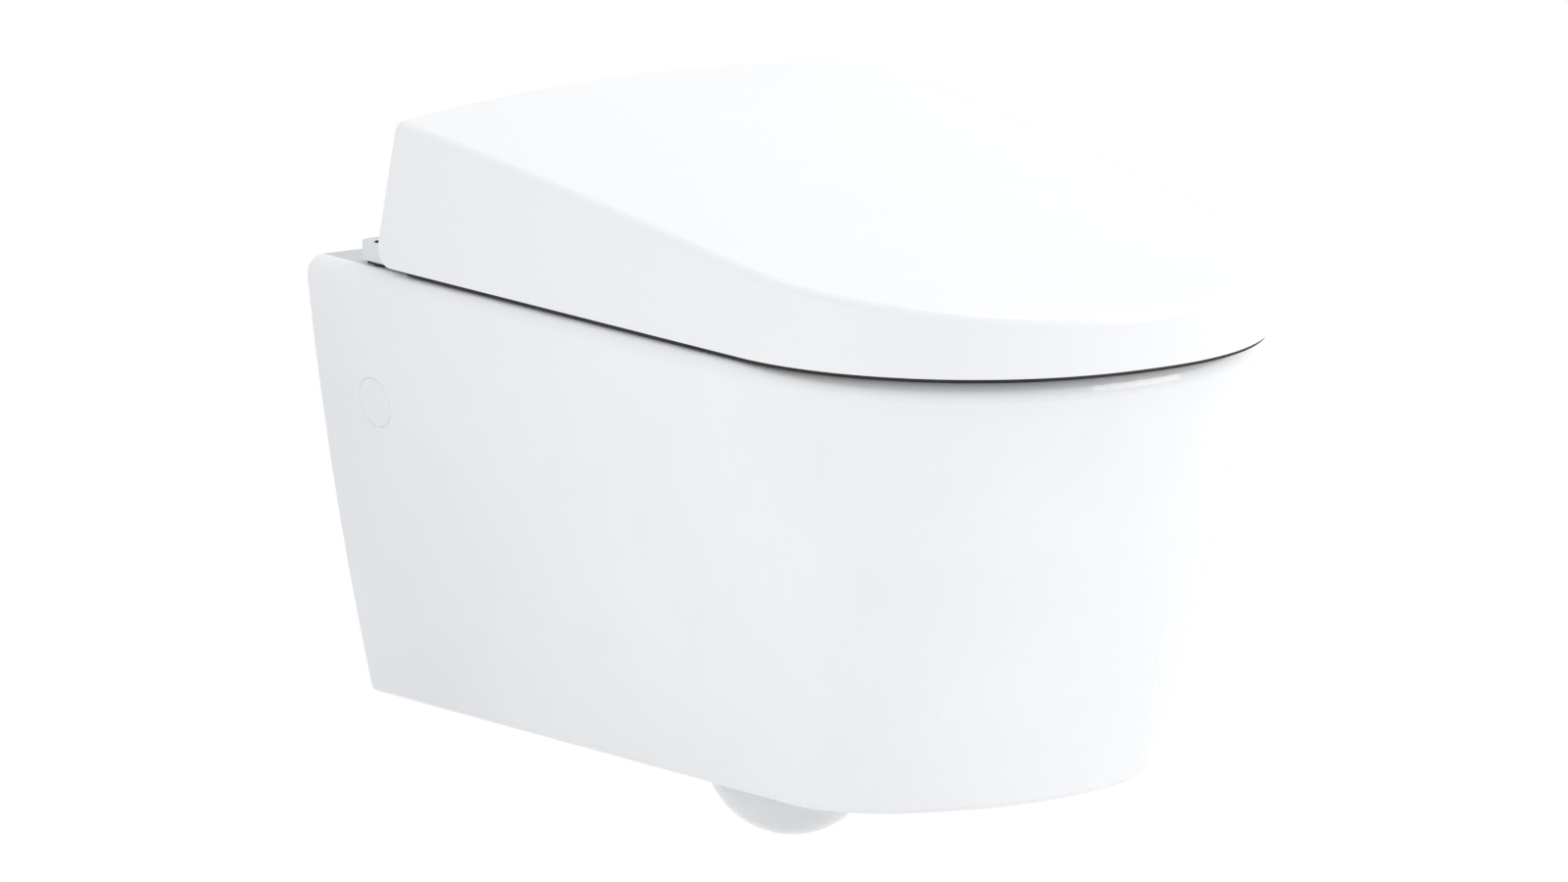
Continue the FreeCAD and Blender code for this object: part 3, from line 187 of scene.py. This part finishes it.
def surface(name, colour, roughness, ior=1.5, metallic=0.0, coat=0.0, coat_roughness=0.03):
    """A new material with one shader; gives the material, its tree and the shader."""
    made = bpy.data.materials.new(name)
    made.use_nodes = True
    tree = made.node_tree
    tree.nodes.clear()
    values = {"Base Color": linear(colour), "Roughness": roughness, "IOR": ior, "Metallic": metallic}
    values.update({"Coat Weight": coat, "Coat Roughness": coat_roughness})
    shader = add(tree, "ShaderNodeBsdfPrincipled", values)
    add(tree, "ShaderNodeOutputMaterial", {"Surface": shader.outputs[0]})
    return made, tree, shader


def grain(tree, millimetres, detail=3.0):
    """A noise on the piece's own coordinates whose grains are the given size."""
    where = add(tree, "ShaderNodeTexCoord").outputs["Object"]
    scale = 1 / (millimetres * MM)
    return add(tree, "ShaderNodeTexNoise", {"Vector": where, "Scale": scale, "Detail": detail}).outputs["Fac"]


def blend_colours(tree, shader, factor, low, high):
    """Colours the shader between two colours by a factor."""
    ramp = add(tree, "ShaderNodeValToRGB", {"Fac": factor})
    ramp.color_ramp.elements[0].position, ramp.color_ramp.elements[1].position = 0.3, 0.7
    ramp.color_ramp.elements[0].color, ramp.color_ramp.elements[1].color = linear(low), linear(high)
    tree.links.new(ramp.outputs["Color"], shader.inputs["Base Color"])


def spread_roughness(tree, shader, factor, low, high):
    """Lets the roughness wander between two values by a factor."""
    values = {"Value": factor, "From Min": 0.3, "From Max": 0.7, "To Min": low, "To Max": high}
    tree.links.new(add(tree, "ShaderNodeMapRange", values).outputs["Result"], shader.inputs["Roughness"])


def raise_bumps(tree, shader, height, millimetres, strength=1.0):
    """Raises the height field by the given depth."""
    values = {"Height": height, "Distance": millimetres * MM, "Strength": strength}
    tree.links.new(add(tree, "ShaderNodeBump", values).outputs["Normal"], shader.inputs["Normal"])


def dress(material, *names):
    """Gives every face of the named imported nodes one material."""
    for name in names:
        nodes[name].data.materials.clear()
        nodes[name].data.materials.append(material)


# The glaze gives sharp, slightly wavering reflections over a body that is hardly mottled.
china, tree, shader = surface("white_glazed_vitreous_china", "#F3F4F5", 0.08, ior=1.52, coat=0.6)
blend_colours(tree, shader, grain(tree, 90), "#F2F3F4", "#F5F6F7")
spread_roughness(tree, shader, grain(tree, 35), 0.06, 0.13)
raise_bumps(tree, shader, grain(tree, 24, 1.0), 0.25, 0.35)
dress(china, "ceramic_pan")


# ---------------------------------------------------------------------------------------------- lid and seat
# The lid, the seat's top and the cover are injection-moulded in a glossy white plastic with a polished outside.
# The mould leaves the faintest waviness, and handling a very light haze.
# It gives broader and softer highlights than the glaze beside it.
plastic, tree, shader = surface("polished_white_plastic", "#F5F6F7", 0.2, ior=1.49, coat=0.25)
spread_roughness(tree, shader, grain(tree, 45), 0.16, 0.26)
raise_bumps(tree, shader, grain(tree, 30, 1.0), 0.12, 0.3)
dress(plastic, "lid_shell", "seat_top", "housing_cover")

# The caps are matt beside the glaze, so they show as faint discs.
cap_plastic, tree, shader = surface("satin_white_cap_plastic", "#F5F6F6", 0.34, ior=1.49)
spread_roughness(tree, shader, grain(tree, 12), 0.3, 0.42)
raise_bumps(tree, shader, grain(tree, 0.6), 0.02, 0.4)
dress(cap_plastic, "side_cap_left", "side_cap_right")


# ---------------------------------------------------------------------------------------------- seat underside
# The seat's base is screwed on from below, in a dark glass-filled plastic with an eroded grain; its dark is partly
# painted shade, which deepens the gap under the seat. Between the halves lies the heater, an aluminium foil with its
# wire. Four soft feet rest on the china and four pegs under the lid.
def moulded(name, colour, roughness, grain_size, depth, ior=1.49):
    """A moulded plastic or rubber: the grain of an eroded mould in millimetres, and a slightly uneven gloss."""
    made, tree, shader = surface(name, colour, roughness, ior=ior)
    spread_roughness(tree, shader, grain(tree, 18), roughness * 0.85, min(roughness * 1.15, 1))
    raise_bumps(tree, shader, grain(tree, grain_size), depth, 0.5)
    return made


def milled(name, colour, roughness, streaks, depth=0.01):
    """A metal whose tool marks run along the axis with the largest spacing; the spacings are millimetres."""
    made, tree, shader = surface(name, colour, roughness, metallic=1.0)
    where = add(tree, "ShaderNodeTexCoord").outputs["Object"]
    spacing = [1 / (s * MM) for s in streaks]
    drawn = add(tree, "ShaderNodeMapping", {"Vector": where, "Scale": spacing}).outputs["Vector"]
    marks = add(tree, "ShaderNodeTexNoise", {"Vector": drawn, "Scale": 1.0, "Detail": 2.0}).outputs["Fac"]
    spread_roughness(tree, shader, marks, roughness * 0.75, roughness * 1.3)
    raise_bumps(tree, shader, marks, depth, 0.4)
    return made


# The graphite of the seat's base is partly painted shade and darkens the line under the seat; the foil shines in
# streaks; the feet are quite dull.
graphite_and_gap_shade = moulded("graphite_plastic_and_gap_shade", "#1B1D20", 0.55, 0.8, 0.03)
dress(graphite_and_gap_shade, "seat_base")
foil = milled("rolled_aluminium_heater_foil", "#D3D5D8", 0.35, (0.6, 40, 0.6))
dress(foil, "seat_heater")
soft_grey = moulded("soft_grey_buffer_rubber", "#9DA1A5", 0.7, 0.5, 0.04, ior=1.52)
dress(soft_grey, "seat_buffers", "lid_buffers")
zinc = milled("zinc_plated_steel", "#B9BDC2", 0.3, (0.3, 6, 0.3))


def rule(name, sizes, points=False):
    """A geometry tree with an input for each named size, and its group inputs; points may feed it too."""
    tree = bpy.data.node_groups.new(name, "GeometryNodeTree")
    if points:
        tree.interface.new_socket("Points", in_out="INPUT", socket_type="NodeSocketGeometry")
    for size, kind in sizes.items():
        tree.interface.new_socket(size, in_out="INPUT", socket_type="NodeSocket" + kind)
    tree.interface.new_socket("Shape", in_out="OUTPUT", socket_type="NodeSocketGeometry")
    return tree, add(tree, "NodeGroupInput").outputs


def close_rule(tree, shape, material):
    """Ends a geometry tree with real geometry of one material."""
    whole = add(tree, "GeometryNodeRealizeInstances", {"Geometry": shape}).outputs[0]
    painted = add(tree, "GeometryNodeSetMaterial", {"Geometry": whole, "Material": material}).outputs[0]
    add(tree, "NodeGroupOutput", {"Shape": painted})


def give(piece, body):
    """Shades a finished piece and hands it to its body."""
    piece.data.shade_smooth()
    piece.data.set_sharp_from_angle(angle=math.radians(35))
    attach(piece, body)


def grow(name, tree, sizes, body, points=()):
    """Runs a geometry tree with its sizes, and keeps the result as a plain mesh that rides on a body."""
    piece = mesh_piece(name, list(points), [])
    recipe = piece.modifiers.new("rule", "NODES")
    recipe.node_group = tree
    for socket in tree.interface.items_tree:
        if socket.in_out == "INPUT" and socket.name in sizes:
            recipe[socket.identifier] = sizes[socket.name]
    seen = piece.evaluated_get(bpy.context.evaluated_depsgraph_get())
    result = bpy.data.meshes.new_from_object(seen)
    piece.modifiers.clear()
    piece.data = result
    give(piece, body)
    return piece


# Each screw is a ring-shaped head round a socket, on a plain shank that fills the socket's bottom.
screws, sizes = rule("socket_screws", {"Head Radius": "Float", "Head Height": "Float"}, points=True)
rim = add(screws, "GeometryNodeCurvePrimitiveCircle", {"Resolution": 28, "Radius": sizes["Head Radius"]}).outputs[0]
bead = add(screws, "GeometryNodeCurvePrimitiveCircle", {"Resolution": 10, "Radius": sizes["Head Height"]}).outputs[0]
head = add(screws, "GeometryNodeCurveToMesh", {"Curve": rim, "Profile Curve": bead}).outputs[0]
values = {"Vertices": 28, "Radius": sizes["Head Radius"], "Depth": sizes["Head Height"]}
shank = add(screws, "GeometryNodeMeshCylinder", values).outputs["Mesh"]
both = add(screws, "GeometryNodeJoinGeometry")
screws.links.new(head, both.inputs[0])
screws.links.new(shank, both.inputs[0])
values = {"Points": sizes["Points"], "Instance": both.outputs[0]}
placed = add(screws, "GeometryNodeInstanceOnPoints", values).outputs[0]
close_rule(screws, placed, zinc)
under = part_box("seat_base")[0][2]
spots = [(side * x * MM, -y * MM, under) for x, y in ((126, 262), (112, 398), (34, 512)) for side in (-1, 1)]
grow("seat_base_screws", screws, {"Head Radius": 2.6 * MM, "Head Height": 0.8 * MM}, "seat", spots)


# ---------------------------------------------------------------------------------------------- shower unit
# The unit sits on the deck under the lid: a pale satin tray, and the glossy cover with a smoked window for the
# sensor, a frosted lamp lens and two round keys, each with a plain raised sign instead of words.
# The tray is a shade greyer than the cover; the window is a dark mirror; the lens is milky; the keys are grey.
tray_plastic = moulded("satin_pale_grey_plastic", "#E7EAEC", 0.42, 0.7, 0.025)
dress(tray_plastic, "unit_tray")
smoked, tree, shader = surface("smoked_polycarbonate", "#0C0D10", 0.06, ior=1.585, coat=0.3)
spread_roughness(tree, shader, grain(tree, 8), 0.05, 0.09)
dress(smoked, "presence_sensor")
frosted, tree, shader = surface("frosted_acrylic_lens", "#E6EEF6", 0.4, ior=1.49)
spread_roughness(tree, shader, grain(tree, 3), 0.34, 0.46)
raise_bumps(tree, shader, grain(tree, 0.4), 0.03, 0.4)
dress(frosted, "night_light")
key_plastic = moulded("satin_grey_key_plastic", "#CBD0D4", 0.36, 0.4, 0.015)
dress(key_plastic, "flush_button", "clean_button")


def ring(radius, height, count=64):
    """The corners of a circle about Z, in millimetres."""
    turns = [2 * math.pi * step / count for step in range(count)]
    return [Vector((radius * math.cos(a), radius * math.sin(a), height)) for a in turns]


def rounded_box(width, depth, radius, height):
    """The corners of a rounded rectangle about Z, in millimetres."""
    corners = []
    for turn, (x, y) in enumerate(((1, 1), (-1, 1), (-1, -1), (1, -1))):
        for step in range(7):
            angle = (turn + step / 6) * math.pi / 2
            middle = Vector((x * (width / 2 - radius), y * (depth / 2 - radius), height))
            corners.append(middle + Vector((math.cos(angle), math.sin(angle), 0)) * radius)
    return corners


def capped(rings):
    """Closes a stack of rings with a point on the Z axis in the first and in the last."""
    ends = [[Vector((0, 0, loop[0].z))] * len(loop) for loop in (rings[0], rings[-1])]
    return ends[:1] + rings + ends[1:]


def band(name, rings, foot, axis, material, body):
    """Closes rings of corners, first to last and back to the first, into a solid whose Z lies along the axis."""
    shape = bmesh.new()
    loops = [[shape.verts.new(corner * MM) for corner in loop] for loop in rings]
    for low, high in zip(loops, loops[1:] + loops[:1]):
        for here in range(len(low)):
            there = (here + 1) % len(low)
            shape.faces.new((low[here], low[there], high[there], high[here]))
    bmesh.ops.remove_doubles(shape, verts=shape.verts, dist=1e-7)
    bmesh.ops.delete(shape, geom=[edge for edge in shape.edges if not edge.link_faces], context="EDGES")
    bmesh.ops.recalc_face_normals(shape, faces=shape.faces)
    turn = Vector((0, 0, 1)).rotation_difference(Vector(axis)).to_matrix().to_4x4()
    shape.transform(Matrix.Translation(foot) @ turn)
    piece = mesh_piece(name, [], [])
    shape.to_mesh(piece.data)
    shape.free()
    piece.data.materials.append(material)
    give(piece, body)
    return piece


# The cover's top falls to the front, and the keys stand square on it.
COVER_FALL, COVER_RUN, KEY_DIAMETER = 23, 176, 14
SLOPE = math.atan2(COVER_FALL, COVER_RUN)
key_up = Vector((0, -math.sin(SLOPE), math.cos(SLOPE)))


def key_face(node):
    """The middle of a key's upper face."""
    low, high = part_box(node)
    middle = (Vector(low) + Vector(high)) / 2
    return middle + key_up * (high[2] - low[2] - KEY_DIAMETER * MM * math.sin(SLOPE)) / math.cos(SLOPE) / 2


# The signs are sunk in the keys' faces and stand 0.3 mm proud: a ring for the flush, a drop for the shower.
SIGN_FOOT, SIGN_HEIGHT, DROP_RADIUS = -0.5, 0.3, 2.4
corners = ((3.4, SIGN_FOOT), (3.4, SIGN_HEIGHT), (2.6, SIGN_HEIGHT), (2.6, SIGN_FOOT))
loops = [ring(radius, height) for radius, height in corners]
band("flush_key_sign", loops, key_face("flush_button"), key_up, graphite_and_gap_shade, "flush_key")
drop = []
for corner in ring(DROP_RADIUS, 0, 48):
    point = min(max(corner.y / DROP_RADIUS, 0), 1)
    drop.append(Vector((corner.x * (1 - point) ** 0.6, corner.y * (1 + point * 0.7), 0)))
loops = [[corner + Vector((0, 0, height)) for corner in drop] for height in (SIGN_FOOT, SIGN_HEIGHT)]
band("clean_key_sign", capped(loops), key_face("clean_button"), key_up, graphite_and_gap_shade, "clean_key")

# The sensor's window has a raised frame, and two domed eyes stand on it.
EYE_SPACING = 7
low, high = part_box("presence_sensor")
middle = Vector(((low[0] + high[0]) / 2, low[1], (low[2] + high[2]) / 2))
wide, tall = (high[0] - low[0]) / MM, (high[2] - low[2]) / MM
loops = [
    rounded_box(wide + edge, tall + edge, 1.5, height)
    for edge, height in ((2.4, -0.6), (2.4, 0.25), (1.6, 0.5), (-0.6, 0.5), (-1.0, 0.1), (-1.0, -0.6))
]
band("sensor_bezel", loops, middle, (0, -1, 0), key_plastic, "pan")
for name, side in (("sensor_eye_left", -1), ("sensor_eye_right", 1)):
    loops = [ring(r, h, 40) for r, h in ((0, -0.4), (2.6, -0.4), (2.6, 0.1), (2.0, 0.42), (1.0, 0.6), (0, 0.66))]
    place = middle + Vector((side * EYE_SPACING * MM, 0, 0))
    band(name, loops, place, (0, -1, 0), smoked, "pan")

# The air that the blower draws enters through a slatted mouth to the left of the spray gate.
MOUTH_SIDE, MOUTH_LEVEL, MOUTH_WIDTH, MOUTH_HEIGHT = -116, 111, 38, 15
SLAT_COUNT, SLAT_PITCH, SLAT_RADIUS = 9, 3.6, 0.55
slats, sizes = rule("row_of_slats", {"Count": "Int", "Pitch": "Vector", "Length": "Float", "Thickness": "Float",
                                     "Foot": "Vector", "Turn": "Vector"})
values = {"Count": sizes["Count"], "Offset": sizes["Pitch"]}
line = add(slats, "GeometryNodeMeshLine", values).outputs[0]
values = {"Vertices": 12, "Radius": sizes["Thickness"], "Depth": sizes["Length"]}
slat = add(slats, "GeometryNodeMeshCylinder", values).outputs["Mesh"]
lined = add(slats, "GeometryNodeInstanceOnPoints", {"Points": line, "Instance": slat}).outputs[0]
values = {"Geometry": lined, "Translation": sizes["Foot"], "Rotation": sizes["Turn"]}
close_rule(slats, add(slats, "GeometryNodeTransform", values).outputs[0], graphite_and_gap_shade)
mouth = Vector((MOUTH_SIDE * MM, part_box("unit_tray")[0][1], MOUTH_LEVEL * MM))
loops = [
    rounded_box(MOUTH_WIDTH + edge, MOUTH_HEIGHT + edge, 3, height)
    for edge, height in ((0, -0.8), (0, 0.5), (-1.2, 0.9), (-3.4, 0.9), (-4, 0.5), (-4, -0.8))
]
band("air_mouth_frame", loops, mouth, (0, -1, 0), key_plastic, "pan")
loops = [rounded_box(MOUTH_WIDTH - 3, MOUTH_HEIGHT - 3, 2, height) for height in (-0.8, 0.1)]
band("air_mouth_back", capped(loops), mouth, (0, -1, 0), graphite_and_gap_shade, "pan")
values = {"Count": SLAT_COUNT, "Pitch": (SLAT_PITCH * MM, 0, 0), "Length": (MOUTH_HEIGHT - 3) * MM}
first_slat = mouth + Vector(((1 - SLAT_COUNT) / 2 * SLAT_PITCH * MM, -0.35 * MM, 0))
values.update({"Thickness": SLAT_RADIUS * MM, "Foot": first_slat, "Turn": (0, 0, 0)})
grow("air_mouth_slats", slats, values, "pan")


# The tray's rear corners run on behind the lid as two rounded lugs, each on a black foot.
LUG_SIDE, LUG_BACK, LUG_WIDTH, LUG_DEPTH = 160.8, 44, 22, 22
bed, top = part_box("unit_tray")[0][2] / MM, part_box("unit_tray")[1][2] / MM
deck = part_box("ceramic_pan")[1][2] / MM
for name, side in (("left", -1), ("right", 1)):
    foot = Vector((side * LUG_SIDE, -LUG_BACK, 0)) * MM
    shaped = ((0, bed), (0, top - 1), (-0.6, top - 0.3), (-2, top))
    loops = [rounded_box(LUG_WIDTH + edge, LUG_DEPTH + edge, 5, height) for edge, height in shaped]
    band("tray_lug_" + name, capped(loops), foot, (0, 0, 1), tray_plastic, "pan")
    loops = [rounded_box(LUG_WIDTH - 5, LUG_DEPTH - 5, 4, height) for height in (deck, bed + 0.4)]
    band("tray_lug_foot_" + name, capped(loops), foot, (0, 0, 1), graphite_and_gap_shade, "pan")


# ---------------------------------------------------------------------------------------------- lid edge shade strip
# A thin black strip under the lid's edge, where it closes on the rim, is painted shade: it stands in for the dark gap
# between the lid and the rim, and draws the thin dark line that runs round the pan. It stops short of the hinge so
# that the lid's heel can swing.
# The outline is a D: straight sides with a taper, round corners, and a large round front.
LID_HALF, LID_TAPER, LID_LENGTH, LID_CORNER, LID_FRONT = 180, math.radians(1.5), 565, 160, 262
SHADE_STRIP_START, SHADE_STRIP_OUTSIDE, SHADE_STRIP_INSIDE, SHADE_STRIP_SUNK, SHADE_STRIP_DROP = 88, 1.8, 3.3, 0.6, 2.3
ROUND_STEPS = 24


def lid_edge(inset, height):
    """Half of the lid's edge in plan, from the side round to the middle of the front, drawn in by an inset."""
    half, length, corner, front = [s - inset for s in (LID_HALF, LID_LENGTH, LID_CORNER, LID_FRONT)]
    forwards = Vector((-math.sin(LID_TAPER), -math.cos(LID_TAPER)))
    inwards = Vector((-math.cos(LID_TAPER), math.sin(LID_TAPER)))
    centre = Vector((0, front - length))
    start = Vector((half, 0)) + inwards * corner
    offset = start - centre
    reach = offset.dot(forwards)
    run = math.sqrt(reach**2 - offset.dot(offset) + (front - corner) ** 2) - reach
    elbow = start + forwards * run
    spoke = (elbow - centre).normalized()
    first, last = math.atan2(-inwards.y, -inwards.x), math.atan2(spoke.y, spoke.x)
    way = [Vector((half, 0)) + forwards * (SHADE_STRIP_START / math.cos(LID_TAPER)), elbow - inwards * corner]
    for step in range(1, ROUND_STEPS + 1):
        angle = first + (last - first) * step / ROUND_STEPS
        way.append(elbow + Vector((math.cos(angle), math.sin(angle))) * corner)
    for step in range(1, ROUND_STEPS + 1):
        angle = last + (-math.pi / 2 - last) * step / ROUND_STEPS
        way.append(centre + Vector((math.cos(angle), math.sin(angle))) * front)
    return [Vector((point.x, point.y, height)) for point in way]


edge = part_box("lid_shell")[0][2] / MM
lines = [
    lid_edge(SHADE_STRIP_OUTSIDE, edge + SHADE_STRIP_SUNK), lid_edge(SHADE_STRIP_OUTSIDE, edge - SHADE_STRIP_DROP),
    lid_edge(SHADE_STRIP_INSIDE, edge - SHADE_STRIP_DROP), lid_edge(SHADE_STRIP_INSIDE, edge + SHADE_STRIP_SUNK),
]
# The strip is painted shade: nearly black and without a shine, it stands for the shadow in the gap under the lid.
gap_shade_black = moulded("black_painted_gap_shade", "#0E0F11", 0.6, 0.6, 0.02, ior=1.52)
sections = [list(corners) for corners in zip(*lines)]
sections += [[Vector((-c.x, c.y, c.z)) for c in section] for section in reversed(sections[:-1])]
ends = [[sum(section, Vector()) / 4] * 4 for section in (sections[0], sections[-1])]
# The strip's black is painted shade for the gap between the lid and the rim.
band("lid_edge_painted_shade_strip", ends[:1] + sections + ends[1:], Vector(), (0, 0, 1), gap_shade_black, "lid")


# ---------------------------------------------------------------------------------------------- spray arm
# The arm is a white tube that slides down out of a grey guide. A round shield closes its end, and the polished
# steel nozzle slides out through it, with a rose of soft tips round its jet.
# The arm is as glossy as the lid, the nozzle shines in fine lines along its length, and the guide is a plain grey.
arm_plastic = moulded("glossy_white_spray_plastic", "#EFF1F2", 0.22, 1.2, 0.01)
dress(arm_plastic, "spray_arm")
nozzle_steel = milled("polished_stainless_nozzle", "#C9CCD0", 0.18, (0.25, 9, 9), 0.006)
dress(nozzle_steel, "spray_nozzle")
grey_plastic = moulded("satin_grey_plastic", "#9A9FA4", 0.45, 0.6, 0.03)
dress(grey_plastic, "arm_guide", "hinge_brackets", "seat_damper", "lid_damper", "heater_tank", "fan_rotor",
      "fixing_sleeves")
# The arm comes out at the foot of its guide, 35 degrees down, and the nozzle's tip lies at its lowest corner.
SPRAY_FALL = math.radians(35)
spray_way = Vector((0, -math.cos(SPRAY_FALL), -math.sin(SPRAY_FALL)))
spray_over = Vector((0, -math.sin(SPRAY_FALL), math.cos(SPRAY_FALL)))
NOZZLE_RADIUS = 6 * MM
low = Vector(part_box("spray_nozzle")[0])
tip = Vector((0, low.y + NOZZLE_RADIUS * math.sin(SPRAY_FALL), low.z + NOZZLE_RADIUS * math.cos(SPRAY_FALL)))
loops = [ring(r, h) for r, h in ((9.4, -0.3), (9.4, 0.35), (9.8, 0.6), (10.2, 0.35), (10.2, -0.3))]
band("shield_bead", loops, tip, spray_way, soft_grey, "spray")

round_parts, sizes = rule("parts_in_a_ring", {"Count": "Int", "Radius": "Float", "Thickness": "Float",
                                              "Length": "Float", "Foot": "Vector", "Turn": "Vector"})
spots = add(round_parts, "GeometryNodeMeshCircle", {"Vertices": sizes["Count"], "Radius": sizes["Radius"]}).outputs[0]
values = {"Vertices": 12, "Radius": sizes["Thickness"], "Depth": sizes["Length"]}
rod = add(round_parts, "GeometryNodeMeshCylinder", values).outputs["Mesh"]
turned = add(round_parts, "GeometryNodeInstanceOnPoints", {"Points": spots, "Instance": rod}).outputs[0]
values = {"Geometry": turned, "Translation": sizes["Foot"], "Rotation": sizes["Turn"]}
close_rule(round_parts, add(round_parts, "GeometryNodeTransform", values).outputs[0], soft_grey)
rose = tip - spray_way * 5 * MM + spray_over * (NOZZLE_RADIUS - 0.1 * MM)
values = {"Count": 8, "Radius": 2.6 * MM, "Thickness": 0.4 * MM, "Length": 1.6 * MM, "Foot": rose}
values["Turn"] = (SPRAY_FALL, 0, 0)
grow("nozzle_rose", round_parts, values, "nozzle")


# ---------------------------------------------------------------------------------------------- works under the cover
# Inside sit the water heater, the pump, the valve block, the board and the blower with its charcoal filter.
# They are moulded in black and grey, and the board is a green lacquered laminate with its parts on top.
# The black has a dull grain; the board is shiny green with paler tracks.
black_plastic = moulded("black_glass_filled_plastic", "#1A1B1D", 0.5, 0.7, 0.03)
dress(black_plastic, "water_pump", "valve_block", "power_gland", "odour_filter", "fan_housing")
laminate, tree, shader = surface("green_lacquered_laminate", "#1F5A3A", 0.3, ior=1.5, coat=0.4)
where = add(tree, "ShaderNodeTexCoord").outputs["Object"]
# The tracks are 0.4 mm wide, in rows 1.5 mm apart.
tracks = add(tree, "ShaderNodeTexBrick", {"Vector": where, "Scale": 1 / (6 * MM), "Mortar Size": 0.06})
for socket, colour in (("Color1", "#1F5A3A"), ("Color2", "#235F3F"), ("Mortar", "#3C7F57")):
    tracks.inputs[socket].default_value = linear(colour)
tree.links.new(tracks.outputs["Color"], shader.inputs["Base Color"])
spread_roughness(tree, shader, grain(tree, 10), 0.26, 0.36)
dress(laminate, "control_board")
loaded, sizes = rule("parts_on_a_board", {"Size X": "Float", "Size Y": "Float", "Part": "Float", "Foot": "Vector"})
values = {"Size X": sizes["Size X"], "Size Y": sizes["Size Y"], "Vertices X": 6, "Vertices Y": 4}
spots = add(loaded, "GeometryNodeMeshGrid", values).outputs["Mesh"]
can = add(loaded, "GeometryNodeMeshCylinder", {"Vertices": 20, "Radius": sizes["Part"], "Depth": sizes["Part"]})
sizing = add(loaded, "FunctionNodeRandomValue", {"Seed": 7}, data_type="FLOAT_VECTOR")
sizing.inputs["Min"].default_value, sizing.inputs["Max"].default_value = (0.5, 0.5, 0.4), (1.3, 1.3, 1.6)
values = {"Points": spots, "Instance": can.outputs["Mesh"], "Scale": sizing.outputs["Value"]}
stood = add(loaded, "GeometryNodeInstanceOnPoints", values).outputs[0]
values = {"Geometry": stood, "Translation": sizes["Foot"]}
close_rule(loaded, add(loaded, "GeometryNodeTransform", values).outputs[0], black_plastic)
low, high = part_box("control_board")
foot = Vector(((low[0] + high[0]) / 2, (low[1] + high[1]) / 2, high[2]))
values = {"Size X": 66 * MM, "Size Y": 40 * MM, "Part": 4 * MM, "Foot": foot}
grow("board_parts", loaded, values, "pan")
low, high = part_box("odour_filter")
values = {"Count": 12, "Pitch": (4.4 * MM, 0, 0), "Length": (high[1] - low[1]) - 4 * MM, "Thickness": 0.9 * MM}
values.update({"Foot": Vector((low[0] + 4.8 * MM, (low[1] + high[1]) / 2, high[2])), "Turn": (math.pi / 2, 0, 0)})
grow("filter_pleats", slats, values, "pan")


# ---------------------------------------------------------------------------------------------- fixings and joints
# Steel shafts, bolts and screws are zinc-plated. The collar, the nuts and the pads are black rubber, moulded
# with a dull skin, and the collar carries two lips that seal on the flush pipe.
dress(zinc, "hinge_shafts", "deck_bolts", "side_screws")
# The rubber is the dullest surface of all, and almost black.
black_rubber = moulded("black_moulded_rubber", "#151517", 0.75, 0.5, 0.05, ior=1.52)
dress(black_rubber, "flush_collar", "deck_nuts", "deck_pads")
low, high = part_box("flush_collar")
back = Vector((0, high[1], (low[2] + high[2]) / 2))
for name, radius in (("collar_lip_inner", 24.0), ("collar_lip_outer", 26.3)):
    loops = [ring(radius + r, h) for r, h in ((-0.6, -0.6), (-0.6, 0.3), (0, 0.7), (0.6, 0.3), (0.6, -0.6))]
    band(name, loops, back, (0, 1, 0), black_rubber, "pan")


# ---------------------------------------------------------------------------------------------- water and mains
# At the back the water hose's nut goes on a machined brass stub with a rolled thread, and the mains lead enters
# a black gland with a ribbed grip. Neither the hose nor the lead shows in the photograph, so they are left out.
# Brass is the one warm colour, and the cutter has left fine rings on it.
brass = milled("machined_brass", "#C9A45C", 0.26, (5, 0.3, 5))
dress(brass, "water_inlet")
thread, sizes = rule("rolled_thread", {"Turns": "Float", "Radius": "Float", "Length": "Float", "Ridge": "Float",
                                       "Foot": "Vector"})
values = {"Resolution": 40, "Rotations": sizes["Turns"], "Start Radius": sizes["Radius"]}
values.update({"End Radius": sizes["Radius"], "Height": sizes["Length"]})
helix = add(thread, "GeometryNodeCurveSpiral", values).outputs[0]
ridge = add(thread, "GeometryNodeCurvePrimitiveCircle", {"Resolution": 8, "Radius": sizes["Ridge"]}).outputs[0]
wound = add(thread, "GeometryNodeCurveToMesh", {"Curve": helix, "Profile Curve": ridge, "Fill Caps": True}).outputs[0]
values = {"Geometry": wound, "Translation": sizes["Foot"], "Rotation": (-math.pi / 2, 0, 0)}
close_rule(thread, add(thread, "GeometryNodeTransform", values).outputs[0], brass)
# The thread is a half-inch pipe thread, rolled over 20 mm near the stub's end.
THREAD_PITCH, THREAD_LENGTH, THREAD_RADIUS = 1.814, 20, 10.25
low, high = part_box("water_inlet")
foot = Vector(((low[0] + high[0]) / 2, high[1] - 22 * MM, (low[2] + high[2]) / 2))
values = {"Turns": THREAD_LENGTH / THREAD_PITCH, "Radius": THREAD_RADIUS * MM, "Length": THREAD_LENGTH * MM}
values.update({"Ridge": 0.45 * MM, "Foot": foot})
grow("inlet_thread_ridge", thread, values, "pan")

# The gland's grip is a ring of round ribs, in the gland's own plastic.
ribs = round_parts.copy()
painter = next(node for node in ribs.nodes if node.bl_idname == "GeometryNodeSetMaterial")
painter.inputs["Material"].default_value = black_plastic
low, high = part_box("power_gland")
foot = Vector(((low[0] + high[0]) / 2, high[1] - 5 * MM, (low[2] + high[2]) / 2))
values = {"Count": 24, "Radius": 8 * MM, "Thickness": 0.45 * MM, "Length": 8 * MM, "Foot": foot}
values["Turn"] = (math.pi / 2, 0, 0)
grow("gland_grip_ribs", ribs, values, "pan")
